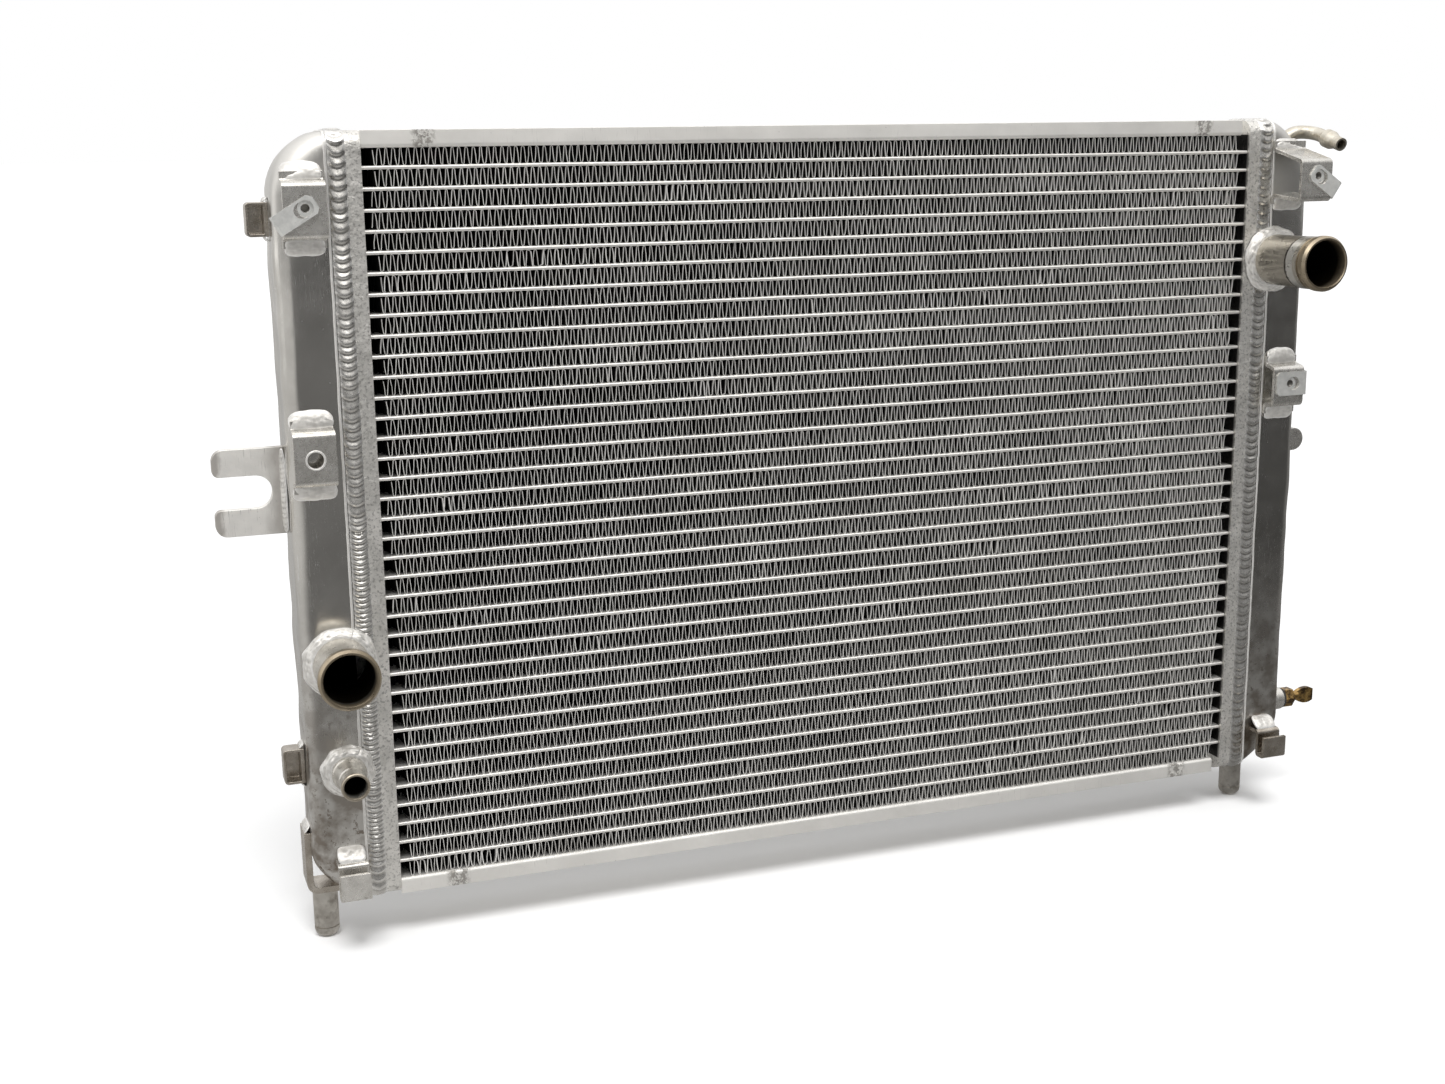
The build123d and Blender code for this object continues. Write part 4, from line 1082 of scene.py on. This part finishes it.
def mirrored_floor():
    """The floor as the metal mirrors it, with a black cloth in front of the radiator that fades out
    towards it and to the left, where the paper shows instead. Seen only in reflections."""
    material = bpy.data.materials.new("mirrored_floor")
    material.use_nodes = True
    material.node_tree.nodes.clear()
    nodes = Nodes(material.node_tree, "Object")
    dark = nodes.times(nodes.ramp("Y", -0.62, -0.1, 1.0, 0.35), nodes.ramp("X", -1.5, -0.6, 0.0, 1.0))
    cloth = nodes.ramp("X", 0.1, 0.8, DARK_CARD, 0.4 * DARK_CARD)
    rightward = nodes.ramp("X", -0.2, 0.35, MIRRORED_FLOOR, 0.4 * MIRRORED_FLOOR)
    total = nodes.plus(nodes.times(nodes.minus(1.0, dark), rightward), nodes.times(dark, cloth))
    light = nodes.add("Emission", Color=(*WARM_WHITE, 1), Strength=total)
    nodes.add("OutputMaterial", Surface=light.outputs[0])
    card = ground("mirrored_floor", 30.0, 0.002, material)
    card.visible_camera = card.visible_diffuse = card.visible_shadow = card.visible_transmission = False


def soft_box(name, place, target, size, radiance, colour):
    """A large soft light that polished metal mirrors, aimed at a point."""
    light = bpy.data.lights.new(name, "AREA")
    light.shape = "RECTANGLE"
    light.size, light.size_y = size
    light.energy = radiance * math.pi * size[0] * size[1]
    light.color = colour
    lamp = put(name, light)
    lamp.location = place
    lamp.rotation_euler = (Vector(target) - Vector(place)).to_track_quat("-Z", "Y").to_euler()
    lamp.visible_diffuse = lamp.visible_camera = False


def sky_lamp():
    """Light from above and slightly ahead, which lays the soft shadow under and behind the radiator."""
    light = bpy.data.lights.new("sky", "SUN")
    light.energy = math.pi * SKY_LIGHT
    light.angle = math.radians(26)
    lamp = put("sky", light)
    lamp.rotation_euler = Vector((0.10, 0.48, -1.0)).to_track_quat("-Z", "Y").to_euler()
    lamp.visible_glossy = False


def floor():
    """A wide pale floor."""
    material = bpy.data.materials.new("floor_paper")
    material.use_nodes = True
    surface = material.node_tree.nodes["Principled BSDF"]
    surface.inputs["Base Color"].default_value = (0.95, 0.95, 0.95, 1)
    surface.inputs["Roughness"].default_value = 1.0
    surface.inputs["Specular IOR Level"].default_value = 0.0
    ground("floor", 60.0, 0, material)


def world():
    """A pale surround. In reflections it is darker ahead of the radiator than above and behind it."""
    made = bpy.data.worlds.new("studio")
    made.use_nodes = True
    nodes = Nodes(made.node_tree, "Generated")
    mirrored = nodes.plus(nodes.ramp("Y", -0.8, 0.25, SURROUND_FRONT, SURROUND_BACK),
                          nodes.ramp("Z", 0.25, 0.85, 0.0, SURROUND_TOP))
    rays = nodes.add("LightPath").outputs
    mirrored = nodes.times(mirrored, rays["Is Glossy Ray"])
    scattered = nodes.times(rays["Is Diffuse Ray"], ROOM_LIGHT)
    background = made.node_tree.nodes["Background"].inputs
    background["Color"].default_value = (1, 1, 1, 1)
    nodes.feed(background["Strength"], nodes.plus(nodes.plus(mirrored, scattered), rays["Is Camera Ray"]))
    bpy.context.scene.world = made


def camera():
    """The photograph's camera: left of the middle, above the radiator, looking slightly down."""
    lens = bpy.data.cameras.new("camera")
    lens.lens = 44.72
    lens.sensor_width = 36.0
    azimuth, elevation, roll = (math.radians(a) for a in (-19.714, 12.645, -0.781))
    back = Vector((
        math.sin(azimuth) * math.cos(elevation),
        -math.cos(azimuth) * math.cos(elevation),
        math.sin(elevation),
    ))
    right = (-back).cross(Vector((0, 0, 1))).normalized()
    up = back.cross(right)
    c, s = math.cos(roll), math.sin(roll)
    turn = Matrix((c * right + s * up, -s * right + c * up, back)).transposed()
    eye = put("camera", lens)
    eye.matrix_world = Matrix.Translation(CORE + Vector((-0.45874, -1.04609, 0.22314))) @ turn.to_4x4()
    bpy.context.scene.camera = eye


def studio():
    world()
    floor()
    camera()
    sky_lamp()
    mirrored_floor()
    soft_box("overhead", (-0.2, -1.1, 2.1), (0, 0, 0.2), (3.4, 1.6), 1.9, WARM_WHITE)
    soft_box("left_side", (-2.6, 0.3, 1.0), (0, 0, 0.25), (1.4, 1.6), 0.46, (1.0, 0.98, 0.95))
    bpy.context.scene.view_settings.view_transform = "Standard"


# ---------------------------------------------------------------- build
def hole_along_y(node, extra=NECK_FIT):
    """Centre, radius and direction of the hole that a neck's foot needs in the tank's front."""
    low, high = core_box(node)
    foot = {"bypass_neck": 10.5 * MM}.get(node, 17 * MM)
    return Vector(((low.x + high.x) / 2, 0, (low.z + high.z) / 2)), foot + extra, Vector((0, 1, 0))


def build():
    tube_piece()
    fin_pieces()
    drain_low, drain_high = core_box("drain_body")
    drain = Vector((TANK_OUTER, (drain_low.y + drain_high.y) / 2, (drain_low.z + drain_high.z) / 2))
    tank_piece(-1, 5.3, [hole_along_y("outlet_neck"), hole_along_y("bypass_neck")])
    tank_piece(1, 8.1, [hole_along_y("inlet_neck"), (drain, 5.5 * MM + NECK_FIT, Vector((1, 0, 0)))])
    for side in (-1, 1):
        seam_weld(side)
    neck_weld("outlet_neck", 4.2 * MM, 31)
    neck_weld("inlet_neck", 4.2 * MM, 32)
    neck_weld("bypass_neck", 4.6 * MM, 33)
    bracket_welds()
    hook_welds()
    side_welds()
    clip_nuts()
    hole_burr()
    fittings()
    carried_over()


build()
studio()
